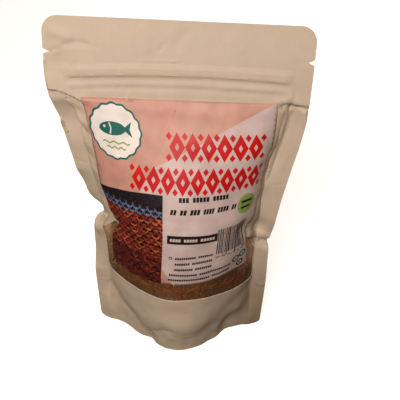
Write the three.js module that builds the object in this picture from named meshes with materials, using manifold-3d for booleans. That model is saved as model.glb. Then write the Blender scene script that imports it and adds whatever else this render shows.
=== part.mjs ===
// A shut kraft paper stand-up bag of dried crayfish: a filled body on an opened base gusset, flat side
// seals, a flat header with tear notches and a press-to-close zip, a clear window low on the front that
// shows the crayfish, and a paper label pasted over the front.
// Millimetres, +Z up, front facing -Y, standing on Z = 0.
//
// Paper bends but does not stretch. So a place on the front panel is given by `across`, the distance
// along the paper from the panel's middle, and by `height`, and the depth of the filled body at each
// height is worked out from how far apart the side seals stand there.

import * as THREE from 'three';
import { mergeVertices } from 'three/addons/utils/BufferGeometryUtils.js';
import Module from 'manifold-3d';

// The bag as it is cut and sealed.
const BAG_WIDTH = 140;
const SEAL_WIDTH = 9.5;
const SEAL_THICKNESS = 0.9;
const HALF_PANEL = BAG_WIDTH / 2 - SEAL_WIDTH;
const FOOT_TUCK = 8; // width of paper that the corner seals of the base take up
const FOOT_TUCK_HEIGHT = 30;

// The bag as it stands filled: how far the inner edges of the side seals stand left and right of the
// header's middle, where the seals lie from front to back, and how much is filled of the depth that the
// paper would allow.
const STATIONS = [
  { height: 0, left: 44.2, right: 50.2, seam: 0, filled: 1 },
  { height: 40, left: 45.0, right: 50.6, seam: -3.4, filled: 1 },
  { height: 70, left: 44.6, right: 49.6, seam: -6.2, filled: 1 },
  { height: 95, left: 43.8, right: 51.0, seam: -8.4, filled: 1 },
  { height: 112, left: 46.6, right: 52.8, seam: -9.6, filled: 0.985 },
  { height: 130, left: 49.8, right: 55.4, seam: -10.9, filled: 0.93 },
  { height: 152, left: 53.8, right: 58.9, seam: -12.4, filled: 0.8 },
  { height: 166, left: 57.6, right: 60.3, seam: -13.4, filled: 0.6 },
  { height: 176, left: 59.6, right: 60.4, seam: -13.9, filled: 0.35 },
  { height: 184, left: 60.4, right: 60.5, seam: -13.4, filled: 0.24 },
  { height: 213, left: 60.5, right: 60.5, seam: -7.6, filled: 0.24 },
];
const BAG_HEIGHT = STATIONS.at(-1).height;

// Each side seal buckles at the waist, which pulls its outer edge in. The left one swings back as far as
// its width allows, the right one hardly.
const BUCKLES = {
  left: { height: 91.5, above: 8.0, below: 5.5, pull: 5.6, always: 0.9, swing: 1 },
  right: { height: 77.5, above: 6.0, below: 4.0, pull: 1.8, always: 0, swing: 0.2 },
};

// The shoulder under the zip is boxy. Beside each seal the sheet is a little hollow above the waist, and
// on the left a little full at the waist. On the right it lies flat for a few millimetres before the seal.
const BOXY = { left: 0.3, right: 0.8 };
const HOLLOW = { left: 0.35, right: 0.3 };
const HOLLOW_REACH = 0.24;
const FULL = { left: 0.15, right: 0 };
const FLAT_STRIP = { left: 0, right: 0.07 };

const TOP_CORNER_RADIUS = 8;
const FOOT_CORNER_RADIUS = 3.5;
const NOTCH = { height: 195.6, depth: 3.2, halfHeight: 1.4 };
const ZIP_RIDGES = [
  { bottom: 186.2, top: 189.8, rise: 0.8 },
  { bottom: 180.8, top: 182, rise: 0.4 },
];
const RIM_WIDTH = 3; // flat strip under the bag that it stands on, round the raised gusset
const GUSSET_RISE = 5;
const GUSSET_SLOPE = 0.35;

const LABEL = { halfWidth: 52.5, bottom: 65, top: 174, thickness: 0.5 };
const WINDOW = { halfWidth: 59, bottom: 50, top: 96, chamfer: 12, thickness: 0.5 };
const CRAYFISH_LAYER = 8;
const CRAYFISH_BUMP = 1.2;
const GAP = 0.3;
const LABEL_GAP = 0.55;

// Lines that every panel shares, so that touching faces bend at the same places.
const LABEL_COLUMNS = 16;
const BODY_ROWS = [0, FOOT_CORNER_RADIUS, 8, 14, 22, 30, 40, 50, 57.5, 65, 72, 77.5, 82, 86, 89, 92, 96, 101,
  107, 114, 122, 130, 138, 146, 152, 158, 163, 167, 171, 174, 178];
const SECTION_STEPS = 160; // samples along a section when its paper is measured

const KRAFT = new THREE.MeshStandardMaterial({ color: 0xb79a77, roughness: 0.8, metalness: 0 });
const FILM = new THREE.MeshStandardMaterial({ color: 0xc9c2b4, roughness: 0.2, metalness: 0 });
const DRIED_CRAYFISH = new THREE.MeshStandardMaterial({ color: 0x8a5a32, roughness: 0.75, metalness: 0 });
const LABEL_PAPER = new THREE.MeshStandardMaterial({ color: 0xc9a9a0, roughness: 0.45, metalness: 0 });

const wasm = await Module();
wasm.setup();

// ---- the bag's surface ----

function smoothStep(from, to, value) {
  return THREE.MathUtils.smoothstep(value, from, to);
}

// A smooth curve through the stations that never overshoots them (a monotone cubic).
function stationCurve(key) {
  const x = STATIONS.map((station) => station.height);
  const y = STATIONS.map((station) => station[key]);
  const slopes = x.slice(1).map((right, i) => (y[i + 1] - y[i]) / (right - x[i]));
  const tangents = y.map((value, i) => {
    if (i === 0) return slopes[0];
    if (i === y.length - 1) return slopes[i - 1];
    const before = slopes[i - 1];
    const after = slopes[i];
    return before * after <= 0 ? 0 : (2 * before * after) / (before + after);
  });
  return (height) => {
    const i = Math.max(0, Math.min(x.length - 2, x.findIndex((value) => value > height) - 1));
    const last = height >= x.at(-1) ? x.length - 2 : i;
    const span = x[last + 1] - x[last];
    const t = (height - x[last]) / span;
    const rise = y[last + 1] - y[last];
    const bend = tangents[last] * span;
    const end = tangents[last + 1] * span;
    return y[last] + t * (bend + t * (3 * rise - 2 * bend - end + t * (bend + end - 2 * rise)));
  };
}

const leftEdge = stationCurve('left');
const rightEdge = stationCurve('right');
const seamDepth = stationCurve('seam');
const filledShare = stationCurve('filled');

// How far out the body stands at u = -1..1 between its seals, from 0 to 1: a pointed nose at the foot,
// a full round at the waist, boxy at the shoulder.
function fullness(place, height) {
  const hand = place < 0 ? 'left' : 'right';
  const strip = FLAT_STRIP[hand] * smoothStep(86, 120, height) * (1 - smoothStep(164, 177, height));
  const u = Math.min(1, Math.abs(place) * (1 + strip));
  const cosine = Math.max(0, Math.cos((Math.PI / 2) * u));
  const nose = 0.5 * cosine ** 2 + 0.5 * cosine;
  const belly = cosine ** 0.9;
  const round = 0.35 * Math.sqrt(Math.max(0, 1 - u * u)) + 0.65 * cosine ** 0.8;
  const low = THREE.MathUtils.lerp(nose, belly, smoothStep(0, 45, height));
  const middle = THREE.MathUtils.lerp(low, round, smoothStep(45, 100, height));
  const boxy = (1 - u ** 5) ** 0.7;
  const arch = THREE.MathUtils.lerp(middle, boxy, BOXY[hand] * smoothStep(130, 158, height));
  const hollow = HOLLOW[hand] * smoothStep(98, 114, height) * (1 - smoothStep(162, 174, height));
  const full = FULL[hand] * smoothStep(45, 60, height) * (1 - smoothStep(92, 108, height));
  const beside = 1 - smoothStep(0, HOLLOW_REACH, 1 - Math.abs(place));
  return arch * (1 - (hollow - full) * beside);
}

function sectionLengths(height, depth) {
  const chord = leftEdge(height) + rightEdge(height);
  const lengths = [0];
  for (let i = 1; i <= SECTION_STEPS; i++) {
    const before = fullness((2 * (i - 1)) / SECTION_STEPS - 1, height);
    const after = fullness((2 * i) / SECTION_STEPS - 1, height);
    lengths.push(lengths[i - 1] + Math.hypot(chord / SECTION_STEPS, depth * (after - before)));
  }
  return lengths;
}

// The section of one panel at a height: the depth that would use up the panel's width of paper, as far as
// it is filled. The stiff zip holds the sheets together a little way down.
const sections = new Map();
function sectionAt(height) {
  if (sections.has(height)) return sections.get(height);
  const paper = 2 * HALF_PANEL - FOOT_TUCK * (1 - smoothStep(0, FOOT_TUCK_HEIGHT, height));
  let shallow = 0;
  let deep = BAG_WIDTH / 2;
  for (let step = 0; step < 40; step++) {
    const depth = (shallow + deep) / 2;
    if (sectionLengths(height, depth).at(-1) < paper) shallow = depth;
    else deep = depth;
  }
  const depth = deep * filledShare(height) * (1 - 0.95 * smoothStep(168, 180.5, height));
  const lengths = sectionLengths(height, depth);
  const across = lengths.map((length) => ((2 * length) / lengths.at(-1) - 1) * HALF_PANEL);
  const section = { depth, across };
  sections.set(height, section);
  return section;
}

// A point of a seal or panel before its thickness: side is -1 for the front, 1 for the back.
function panelPoint(across, height, side) {
  const seam = seamDepth(height);
  const beyond = Math.abs(across) - HALF_PANEL;
  if (beyond >= 0) {
    const hand = across < 0 ? 'left' : 'right';
    const edge = hand === 'left' ? leftEdge(height) : rightEdge(height);
    const buckle = BUCKLES[hand];
    const reach = height > buckle.height ? buckle.above : buckle.below;
    const pull = buckle.pull * Math.exp(-(((height - buckle.height) / reach) ** 2))
      + buckle.always * smoothStep(45, 65, height) * (1 - smoothStep(112, 126, height));
    const share = beyond / SEAL_WIDTH;
    const outward = share * (SEAL_WIDTH - pull);
    const backward = share * buckle.swing * Math.sqrt(SEAL_WIDTH ** 2 - (SEAL_WIDTH - pull) ** 2);
    return new THREE.Vector2(Math.sign(across) * (edge + outward), seam + backward);
  }
  const section = sectionAt(height);
  const next = section.across.findIndex((value) => value > across);
  const low = section.across[next - 1];
  const place = (next - 1 + (across - low) / (section.across[next] - low)) / SECTION_STEPS;
  const u = 2 * place - 1;
  const x = THREE.MathUtils.lerp(-leftEdge(height), rightEdge(height), place);
  return new THREE.Vector2(x, seam + side * section.depth * fullness(u, height));
}

// The same point moved `out` along the panel's outward normal.
function surfacePoint(across, height, side, out) {
  const reach = 0.6;
  const limit = HALF_PANEL - 0.01;
  const inside = Math.abs(across) < HALF_PANEL;
  const clamp = (value) => (inside ? THREE.MathUtils.clamp(value, -limit, limit) : value);
  const before = panelPoint(clamp(across - reach), height, side);
  const after = panelPoint(clamp(across + reach), height, side);
  const along = after.sub(before).normalize();
  const point = panelPoint(across, height, side);
  return new THREE.Vector3(point.x - side * along.y * out, point.y + side * along.x * out, height);
}

// ---- closed solids made of a front and a back grid ----

// front and back are grids of points, rows from the bottom up and columns from left to right.
function shell(front, back) {
  const rows = front.length;
  const columns = front[0].length;
  const vertices = [...front.flat(), ...back.flat()];
  const index = [];
  const at = (layer, row, column) => (layer * rows + row) * columns + column;
  const quad = (a, b, c, d) => index.push(a, b, c, a, c, d);
  for (let row = 0; row < rows - 1; row++) {
    for (let column = 0; column < columns - 1; column++) {
      quad(at(0, row, column), at(0, row, column + 1), at(0, row + 1, column + 1), at(0, row + 1, column));
      quad(at(1, row, column + 1), at(1, row, column), at(1, row + 1, column), at(1, row + 1, column + 1));
    }
    quad(at(1, row, 0), at(0, row, 0), at(0, row + 1, 0), at(1, row + 1, 0));
    quad(at(0, row, columns - 1), at(1, row, columns - 1), at(1, row + 1, columns - 1),
      at(0, row + 1, columns - 1));
  }
  for (let column = 0; column < columns - 1; column++) {
    quad(at(1, 0, column), at(1, 0, column + 1), at(0, 0, column + 1), at(0, 0, column));
    quad(at(0, rows - 1, column), at(0, rows - 1, column + 1), at(1, rows - 1, column + 1),
      at(1, rows - 1, column));
  }
  return { vertices, index };
}

function geometryOf({ vertices, index }) {
  const geometry = new THREE.BufferGeometry().setFromPoints(vertices);
  geometry.setIndex(index);
  return geometry;
}

function toManifold(geometry) {
  const positions = geometry.clone();
  positions.deleteAttribute('normal');
  positions.deleteAttribute('uv');
  const merged = mergeVertices(positions);
  const corners = [];
  for (let i = 0; i < merged.index.count; i += 3) {
    const triangle = [0, 1, 2].map((k) => merged.index.getX(i + k));
    if (new Set(triangle).size === 3) corners.push(...triangle);
  }
  return new wasm.Manifold(new wasm.Mesh({
    numProp: 3,
    vertProperties: Float32Array.from(merged.attributes.position.array),
    triVerts: Uint32Array.from(corners),
  }));
}

function fromManifold(solid) {
  const { vertProperties, triVerts, numProp } = solid.getMesh();
  const geometry = new THREE.BufferGeometry();
  geometry.setAttribute('position', new THREE.BufferAttribute(Float32Array.from(vertProperties), numProp));
  geometry.setIndex([...triVerts]);
  return geometry;
}

function labelColumns() {
  const step = (2 * LABEL.halfWidth) / LABEL_COLUMNS;
  return Array.from({ length: LABEL_COLUMNS + 1 }, (_, i) => -LABEL.halfWidth + i * step);
}

// A patch of the front panel between two distances from its surface. halfWidth may depend on the height.
function frontPatch(rows, halfWidth, inner, outer, relief = () => 0) {
  const grid = (out, bumps) => rows.map((height) => {
    const half = halfWidth(height);
    const columns = labelColumns().filter((across) => Math.abs(across) < half - 1);
    return [-half, ...columns, half].map((across) => (
      surfacePoint(across, height, -1, out - (bumps ? relief(across, height) : 0))));
  });
  const pad = (points, count) => {
    const filled = [...points];
    while (filled.length < count) {
      filled.splice(1, 0, filled[0].clone().lerp(filled[1], 0.5));
      filled.splice(-1, 0, filled.at(-1).clone().lerp(filled.at(-2), 0.5));
    }
    return filled;
  };
  const front = grid(outer, true);
  const back = grid(inner, false);
  const count = Math.max(...front.map((row) => row.length));
  return geometryOf(shell(front.map((row) => pad(row, count)), back.map((row) => pad(row, count))));
}

// ---- the pieces ----

function cornerInset(height) {
  const above = height - (BAG_HEIGHT - TOP_CORNER_RADIUS);
  if (above > 0) return TOP_CORNER_RADIUS - Math.sqrt(Math.max(0, TOP_CORNER_RADIUS ** 2 - above ** 2));
  const below = FOOT_CORNER_RADIUS - height;
  if (below > 0) return FOOT_CORNER_RADIUS - Math.sqrt(Math.max(0, FOOT_CORNER_RADIUS ** 2 - below ** 2));
  return 0;
}

function zipRise(across, height) {
  if (Math.abs(across) > HALF_PANEL) return 0;
  const ridge = ZIP_RIDGES.find(({ bottom, top }) => height >= bottom && height <= top);
  return ridge ? ridge.rise : 0;
}

function bagRows() {
  const slope = 0.6;
  const zip = ZIP_RIDGES.flatMap(({ bottom, top }) => [bottom - slope, bottom, top, top + slope]);
  const corner = [0, 0.3, 0.55, 0.78, 0.93, 1].map((share) => (
    BAG_HEIGHT - TOP_CORNER_RADIUS * (1 - share)));
  return [...BODY_ROWS, ...zip, 194, 197.5, 201, ...corner].sort((a, b) => a - b);
}

function bagColumns() {
  const side = [WINDOW.halfWidth, HALF_PANEL, HALF_PANEL + SEAL_WIDTH / 2, BAG_WIDTH / 2];
  return [...side.map((value) => -value), ...labelColumns(), ...side].sort((a, b) => a - b);
}

function bagGrid(side) {
  return bagRows().map((height) => bagColumns().map((across) => {
    const most = BAG_WIDTH / 2 - cornerInset(height);
    const share = Math.max(0, Math.abs(across) - HALF_PANEL) / SEAL_WIDTH;
    const shrunk = Math.abs(across) > HALF_PANEL
      ? Math.sign(across) * (HALF_PANEL + share * (most - HALF_PANEL)) : across;
    return surfacePoint(shrunk, height, side, SEAL_THICKNESS / 2 + zipRise(across, height));
  }));
}

// Under the bag the gusset rises from a flat rim towards the fold along its middle. At the outer ends
// of the seals it closes onto the two corners there.
function gusset(front, back) {
  return front.map((low, column) => {
    const high = back[column];
    const depth = high.y - low.y;
    const rim = Math.min(RIM_WIDTH, depth / 4);
    const atEnd = column === 0 || column === front.length - 1;
    const places = atEnd ? [0, 0, 0, depth, depth, depth, depth]
      : [0, rim, 0.3 * depth, 0.5 * depth, 0.7 * depth, depth - rim, depth];
    return places.map((place) => {
      const fromRim = Math.min(place, depth - place) - RIM_WIDTH;
      const rise = THREE.MathUtils.clamp(GUSSET_SLOPE * fromRim, 0, GUSSET_RISE);
      return new THREE.Vector3(THREE.MathUtils.lerp(low.x, high.x, place / depth), low.y + place, rise);
    });
  });
}

function bagSolid() {
  const front = bagGrid(-1);
  const back = bagGrid(1);
  const { vertices, index } = shell(front, back);
  const columns = front[0].length;
  const floor = gusset(front[0], back[0]);
  const strips = floor[0].length;
  // The flat bottom that shell() made is its bottom strip of quads. The gusset takes its place.
  const layer = front.length * columns;
  const sideOnly = [];
  for (let i = 0; i < index.length; i += 3) {
    const corners = index.slice(i, i + 3);
    const onBottom = corners.every((corner) => corner % layer < columns);
    if (!onBottom) sideOnly.push(...corners);
  }
  const base = vertices.length;
  const grid = (column, strip) => base + column * strips + strip;
  for (let column = 0; column < columns - 1; column++) {
    for (let strip = 0; strip < strips - 1; strip++) {
      const [a, b] = [grid(column, strip), grid(column, strip + 1)];
      const [c, d] = [grid(column + 1, strip + 1), grid(column + 1, strip)];
      sideOnly.push(a, b, c, a, c, d);
    }
  }
  const geometry = geometryOf({ vertices: [...vertices, ...floor.flat()], index: sideOnly });
  return toManifold(geometry);
}

function windowHalf(margin) {
  return (height) => {
    const intoChamfer = Math.max(0, height - (WINDOW.top - WINDOW.chamfer));
    return WINDOW.halfWidth - margin - intoChamfer;
  };
}

function windowRows(margin) {
  const inner = BODY_ROWS.filter((row) => row > WINDOW.bottom && row < WINDOW.top);
  return [WINDOW.bottom + margin, ...inner, WINDOW.top - margin];
}

function tearNotch(hand) {
  const notch = new THREE.CylinderGeometry(1, 1, 12, 20).scale(NOTCH.depth, 1, NOTCH.halfHeight);
  notch.translate((hand * BAG_WIDTH) / 2, seamDepth(NOTCH.height), NOTCH.height);
  return toManifold(notch);
}

function makeBag() {
  const pocket = frontPatch(windowRows(0), windowHalf(0), -CRAYFISH_LAYER - GAP, 2);
  let bag = bagSolid().subtract(toManifold(pocket));
  for (const hand of [-1, 1]) bag = bag.subtract(tearNotch(hand));
  return fromManifold(bag);
}

function makeWindow() {
  const face = SEAL_THICKNESS / 2;
  return frontPatch(windowRows(GAP), windowHalf(GAP), face - WINDOW.thickness, face);
}

// The crayfish press unevenly against the film.
function makeCrayfish() {
  const face = SEAL_THICKNESS / 2 - WINDOW.thickness - GAP;
  const bumps = (across, height) => (
    CRAYFISH_BUMP * (0.5 + 0.5 * Math.sin(across * 0.9 + height * 0.35) * Math.cos(height * 0.8)));
  return frontPatch(windowRows(GAP), windowHalf(GAP), -CRAYFISH_LAYER, face, bumps);
}

function makeLabel() {
  const rows = BODY_ROWS.filter((row) => row >= LABEL.bottom && row <= LABEL.top);
  const inner = SEAL_THICKNESS / 2 + LABEL_GAP;
  return frontPatch(rows, () => LABEL.halfWidth, inner, inner + LABEL.thickness);
}

// ---- the object ----

const PIECES = [
  ['pouch', makeBag, KRAFT],
  ['window', makeWindow, FILM],
  ['crayfish', makeCrayfish, DRIED_CRAYFISH],
  ['label', makeLabel, LABEL_PAPER],
];

const group = new THREE.Group();
for (const [name, make, material] of PIECES) {
  const mesh = new THREE.Mesh(make(), material);
  mesh.name = name;
  group.add(mesh);
}

// The origin is under the middle of the bag.
const box = new THREE.Box3().setFromObject(group);
const middle = box.getCenter(new THREE.Vector3());
group.position.set(-middle.x, -middle.y, 0);
group.updateMatrixWorld(true);

export default group;
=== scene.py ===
# %% [markdown]
# # A stand-up pouch of dried crayfish
# The bag is kraft paper lined with plastic, so that heat can seal its edges. It has flat side seals, a
# folded gusset under it, a press-to-close zip, a clear window low on the front and a paper label over it.
# Paper bends but never stretches. So every piece here is cut flat first, in millimetres across and up
# the panel, and then laid onto one curved surface, as a maker cuts a pattern and bends it.

# %% Load the fixed frame
import math

import bpy
import numpy as np
from mathutils import Matrix, Vector
from mathutils.geometry import delaunay_2d_cdt


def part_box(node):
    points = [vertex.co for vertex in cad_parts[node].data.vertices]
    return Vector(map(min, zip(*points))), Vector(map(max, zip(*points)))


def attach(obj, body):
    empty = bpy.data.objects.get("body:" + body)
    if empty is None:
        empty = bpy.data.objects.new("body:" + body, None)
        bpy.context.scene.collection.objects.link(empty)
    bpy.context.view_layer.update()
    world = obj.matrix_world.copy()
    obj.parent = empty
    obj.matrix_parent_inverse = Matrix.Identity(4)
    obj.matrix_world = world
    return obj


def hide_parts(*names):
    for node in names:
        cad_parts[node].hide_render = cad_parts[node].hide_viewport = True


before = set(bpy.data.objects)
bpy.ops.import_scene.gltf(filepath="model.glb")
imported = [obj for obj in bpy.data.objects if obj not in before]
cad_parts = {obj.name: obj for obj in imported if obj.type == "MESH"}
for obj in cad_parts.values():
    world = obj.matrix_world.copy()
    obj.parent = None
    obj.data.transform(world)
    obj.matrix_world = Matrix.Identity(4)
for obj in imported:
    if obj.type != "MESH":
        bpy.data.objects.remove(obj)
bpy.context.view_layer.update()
MM = 0.001

# %% [markdown]
# ## The bag as it stands
# A filled bag is narrow at the waist, because the paper goes into the depth of its belly. These
# stations say how far the inner edges of the side seals stand from the middle at a few heights, how far
# forward the seals lie, and how full the bag is there. A smooth curve runs through them. It could be a
# spline object, but a short function can be asked for any height at once.

# %% Sizes and stations
BAG_WIDTH = 140.0
BAG_HEIGHT = 213.0
SEAL_WIDTH = 9.5
HALF_PANEL = BAG_WIDTH / 2 - SEAL_WIDTH
HALF_SEAL_THICKNESS = 0.45
FOOT_TUCK = 8.0
FOOT_TUCK_HEIGHT = 30.0

STATIONS = np.array([
    # height, left, right, seam, filled
    (0, 44.2, 50.2, 0.0, 1.0),
    (40, 45.0, 50.6, -3.4, 1.0),
    (70, 44.6, 49.6, -6.2, 1.0),
    (95, 43.8, 51.0, -8.4, 1.0),
    (112, 46.6, 52.8, -9.6, 0.985),
    (130, 49.8, 55.4, -10.9, 0.93),
    (152, 53.8, 58.9, -12.4, 0.80),
    (166, 57.6, 60.3, -13.4, 0.6),
    (176, 59.6, 60.4, -13.9, 0.35),
    (184, 60.4, 60.5, -13.4, 0.24),
    (213, 60.5, 60.5, -7.6, 0.24),
])
print("stations:", len(STATIONS), "from the foot to", STATIONS[-1, 0], "mm up")

# %% The curves through the stations
def station_curve(column, heights):
    """One column of the stations at any height, as a smooth curve that never overshoots them."""
    x, y = STATIONS[:, 0], STATIONS[:, column]
    slope = np.diff(y) / np.diff(x)
    before, after = slope[:-1], slope[1:]
    turns = before * after <= 0
    middle = np.where(turns, 0, 2 * before * after / np.where(turns, 1, before + after))
    tangent = np.concatenate([slope[:1], middle, slope[-1:]])
    i = np.clip(np.searchsorted(x, heights, side="right") - 1, 0, len(x) - 2)
    span = x[i + 1] - x[i]
    t = (heights - x[i]) / span
    rise = y[i + 1] - y[i]
    bend, end = tangent[i] * span, tangent[i + 1] * span
    return y[i] + t * (bend + t * (3 * rise - 2 * bend - end + t * (bend + end - 2 * rise)))


def smoothstep(start, stop, value):
    t = np.clip((value - start) / (stop - start), 0, 1)
    return t * t * (3 - 2 * t)


GRID = 0.5
HEIGHTS = np.arange(0, BAG_HEIGHT + GRID / 2, GRID)
ACROSS = np.arange(-BAG_WIDTH / 2, BAG_WIDTH / 2 + GRID / 2, GRID)
LEFT, RIGHT, SEAM, FILLED = (station_curve(column, HEIGHTS) for column in (1, 2, 3, 4))
print("narrowest between the seals:", round(float((LEFT + RIGHT).min()), 1), "mm")

# %% [markdown]
# ## How far the belly stands out
# At each height the panel is an arch between the two seals. Its depth isn't free: the arch must be
# exactly as long as the paper is wide. So the depth is halved in on until the length fits. The arch is
# pointed at the foot, where the gusset holds it, and round at the waist.

# %% Shape of the arch
SECTION = np.linspace(-1, 1, 161)
FLAT_LEFT, FLAT_RIGHT = 0.35, 0.3
FLAT_REACH = 0.24
FULL_LEFT = 0.15
FLAT_STRIP = 0.07
BOXY_LEFT, BOXY_RIGHT = 0.3, 0.8


def flattened(u, height):
    """Beside each seal the sheet is a little hollow above the waist, and on the left it is full below."""
    hollow = np.where(u > 0, FLAT_RIGHT, FLAT_LEFT)
    share = hollow * smoothstep(98, 114, height) * smoothstep(174, 162, height)
    share -= np.where(u > 0, 0, FULL_LEFT) * smoothstep(45, 60, height) * smoothstep(108, 92, height)
    return 1 - share * smoothstep(FLAT_REACH, 0, 1 - np.abs(u))


def fullness(u, height):
    """On the right the belly ends a few millimetres before the seal, with a flat strip in between."""
    strip = FLAT_STRIP * smoothstep(86, 120, height) * smoothstep(177, 164, height)
    u = np.where(u > 0, np.minimum(1, u * (1 + strip)), u)
    cosine = np.maximum(0, np.cos(np.pi / 2 * u))
    nose = 0.5 * cosine**2 + 0.5 * cosine
    belly = cosine**0.9
    rounded = 0.35 * np.sqrt(np.maximum(0, 1 - u * u)) + 0.65 * cosine**0.8
    low = nose + (belly - nose) * smoothstep(0, 45, height)
    middle = low + (rounded - low) * smoothstep(45, 100, height)
    boxy = (1 - np.abs(u) ** 5) ** 0.7
    share = np.where(u > 0, BOXY_RIGHT, BOXY_LEFT) * smoothstep(130, 158, height)
    return middle + (boxy - middle) * share


ARCH = fullness(SECTION[None, :], HEIGHTS[:, None]) * flattened(SECTION[None, :], HEIGHTS[:, None])
half_way = 3 * len(SECTION) // 4
print("half-way to the right seal, the foot's arch has", ARCH[0, half_way].round(2), "of its depth")

# %% Depth of the belly at each height
def arch_lengths(depth):
    """How long each height's arch is, from its left end to every step along it."""
    across_step = (LEFT + RIGHT)[:, None] / (len(SECTION) - 1)
    steps = np.hypot(across_step, depth[:, None] * np.diff(ARCH, axis=1))
    return np.concatenate([np.zeros((len(HEIGHTS), 1)), np.cumsum(steps, axis=1)], axis=1)


PAPER = 2 * HALF_PANEL - FOOT_TUCK * (1 - smoothstep(0, FOOT_TUCK_HEIGHT, HEIGHTS))
shallow, deep = np.zeros(len(HEIGHTS)), np.full(len(HEIGHTS), BAG_WIDTH / 2)
for _ in range(40):
    depth = (shallow + deep) / 2
    short = arch_lengths(depth)[:, -1] < PAPER
    shallow, deep = np.where(short, depth, shallow), np.where(short, deep, depth)
# The stiff zip holds the front flat a little way down, and then the belly starts all at once.
deep *= FILLED * (1 - 0.95 * smoothstep(168, 180.5, HEIGHTS))
sample_rows = (np.array([0, 96, 184]) / GRID).astype(int)
print("belly depth at the foot, waist and zip:", deep[sample_rows].round(1), "mm")

# %% [markdown]
# ## The paper surface
# Two grids hold where every half millimetre of the front and back sheets lies. Each side seal buckles at
# the waist, the left one far more, which draws its outer edge in and swings it back. Anything laid on the
# bag asks these grids for a place and a direction outward.

# %% Where a smooth sheet lies
FRONT, BACK = -1, 1
# For the left and the right seal: the height of its buckle, how far that reaches above and below, how far
# it pulls the edge in, how far the wing at the waist is always drawn in, and how much of it swings back.
BUCKLES = {
    -1: {"height": 91.5, "above": 8.0, "below": 5.5, "pull": 5.6, "always": 0.9, "swing": 1.0},
    1: {"height": 77.5, "above": 6.0, "below": 4.0, "pull": 1.8, "always": 0.0, "swing": 0.2},
}


def sheet_grid(side):
    """Where a smooth sheet lies: the arch of the panel row by row, and then the side seals."""
    lengths = arch_lengths(deep)
    grid = np.zeros((len(HEIGHTS), len(ACROSS), 3))
    grid[:, :, 2] = HEIGHTS[:, None]
    for row in range(len(HEIGHTS)):
        across = (2 * lengths[row] / lengths[row, -1] - 1) * HALF_PANEL
        grid[row, :, 0] = np.interp(ACROSS, across, SECTION * 0.5 * (LEFT[row] + RIGHT[row])
                                    + 0.5 * (RIGHT[row] - LEFT[row]))
        grid[row, :, 1] = SEAM[row] + side * deep[row] * np.interp(ACROSS, across, ARCH[row])
    for hand, buckle in BUCKLES.items():
        reach = np.where(HEIGHTS > buckle["height"], buckle["above"], buckle["below"])
        pull = buckle["pull"] * np.exp(-(((HEIGHTS - buckle["height"]) / reach) ** 2))
        pull += buckle["always"] * smoothstep(45, 65, HEIGHTS) * smoothstep(126, 112, HEIGHTS)
        backward = buckle["swing"] * np.sqrt(SEAL_WIDTH**2 - (SEAL_WIDTH - pull) ** 2)
        edge = RIGHT if hand > 0 else LEFT
        columns = np.flatnonzero(hand * ACROSS > HALF_PANEL)
        share = (hand * ACROSS[columns] - HALF_PANEL) / SEAL_WIDTH
        grid[:, columns, 0] = hand * (edge[:, None] + share * (SEAL_WIDTH - pull)[:, None])
        grid[:, columns, 1] = SEAM[:, None] + share * backward[:, None]
    return grid


places = {side: sheet_grid(side) for side in (FRONT, BACK)}
print("each grid holds", places[FRONT].shape[0], "rows of", places[FRONT].shape[1], "places")

# %% Move the grids onto the CAD pouch, and find the directions outward
def outward(grid, side):
    """Directions square to the sheet. They turn level towards the foot, so that the rim stays down."""
    normal = -side * np.cross(np.gradient(grid, axis=1), np.gradient(grid, axis=0))
    normal[:, :, 2] *= smoothstep(0, 12, HEIGHTS)[:, None]
    return normal / np.linalg.norm(normal, axis=2, keepdims=True)


pouch_low, pouch_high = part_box("pouch")
foremost = places[FRONT][:, :, 1].min() - HALF_SEAL_THICKNESS
shift = np.array([(pouch_low.x + pouch_high.x) / 2 / MM, pouch_low.y / MM - foremost, 0])
for side in places:
    places[side] += shift
directions = {side: outward(places[side], side) for side in places}
print("moved onto the CAD pouch by", shift.round(2), "mm")

# %% [markdown]
# ## Folds in the paper
# Kraft paper keeps every fold. Each one here is a short line across the flat sheet, with a height and a
# reach. A soft fold is a rounded ridge or valley. A sharp fold is a crease. A lap is where the paper
# above hangs over the paper below: it rises slowly from above and drops suddenly at the line. Sculpting
# would do as well, but lines of a few points are easy to read and to change.

# %% Distance from a fold's line
def rounded_line(points, rounds=2):
    """The line with its corners cut off again and again, so that it bends softly."""
    line = [np.array(p, float) for p in points]
    for _ in range(rounds if len(line) > 2 else 0):
        cut = [line[0]]
        for a, b in zip(line, line[1:]):
            cut += [0.75 * a + 0.25 * b, 0.25 * a + 0.75 * b]
        line = cut + [line[-1]]
    return line


def from_line(points, across, height):
    """Distance from the line, above it positive when it runs from left to right, and distance along it."""
    line = rounded_line(points)
    nearest = np.full(across.shape, 1e9)
    signed, travel = np.zeros(across.shape), np.zeros(across.shape)
    start = 0.0
    for a, b in zip(line, line[1:]):
        step = b - a
        length = np.hypot(*step)
        px, pz = across - a[0], height - a[1]
        t = np.clip((px * step[0] + pz * step[1]) / length**2, 0, 1)
        distance = np.hypot(px - t * step[0], pz - t * step[1])
        closer = distance < nearest
        nearest = np.where(closer, distance, nearest)
        signed = np.where(closer, distance * np.sign(step[0] * pz - step[1] * px), signed)
        travel = np.where(closer, start + t * length, travel)
        start += length
    return signed, travel, start


level_line = [(-10.0, 0.0), (10.0, 0.0)]
signed, travel, total = from_line(level_line, np.array([0.0, 5.0]), np.array([2.0, -1.0]))
print("2 mm above and 1 mm below a level line:", signed.round(1), "and along it:", travel.round(1))

# %% How far a fold lifts the paper
LAP_DROP = 0.9


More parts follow.
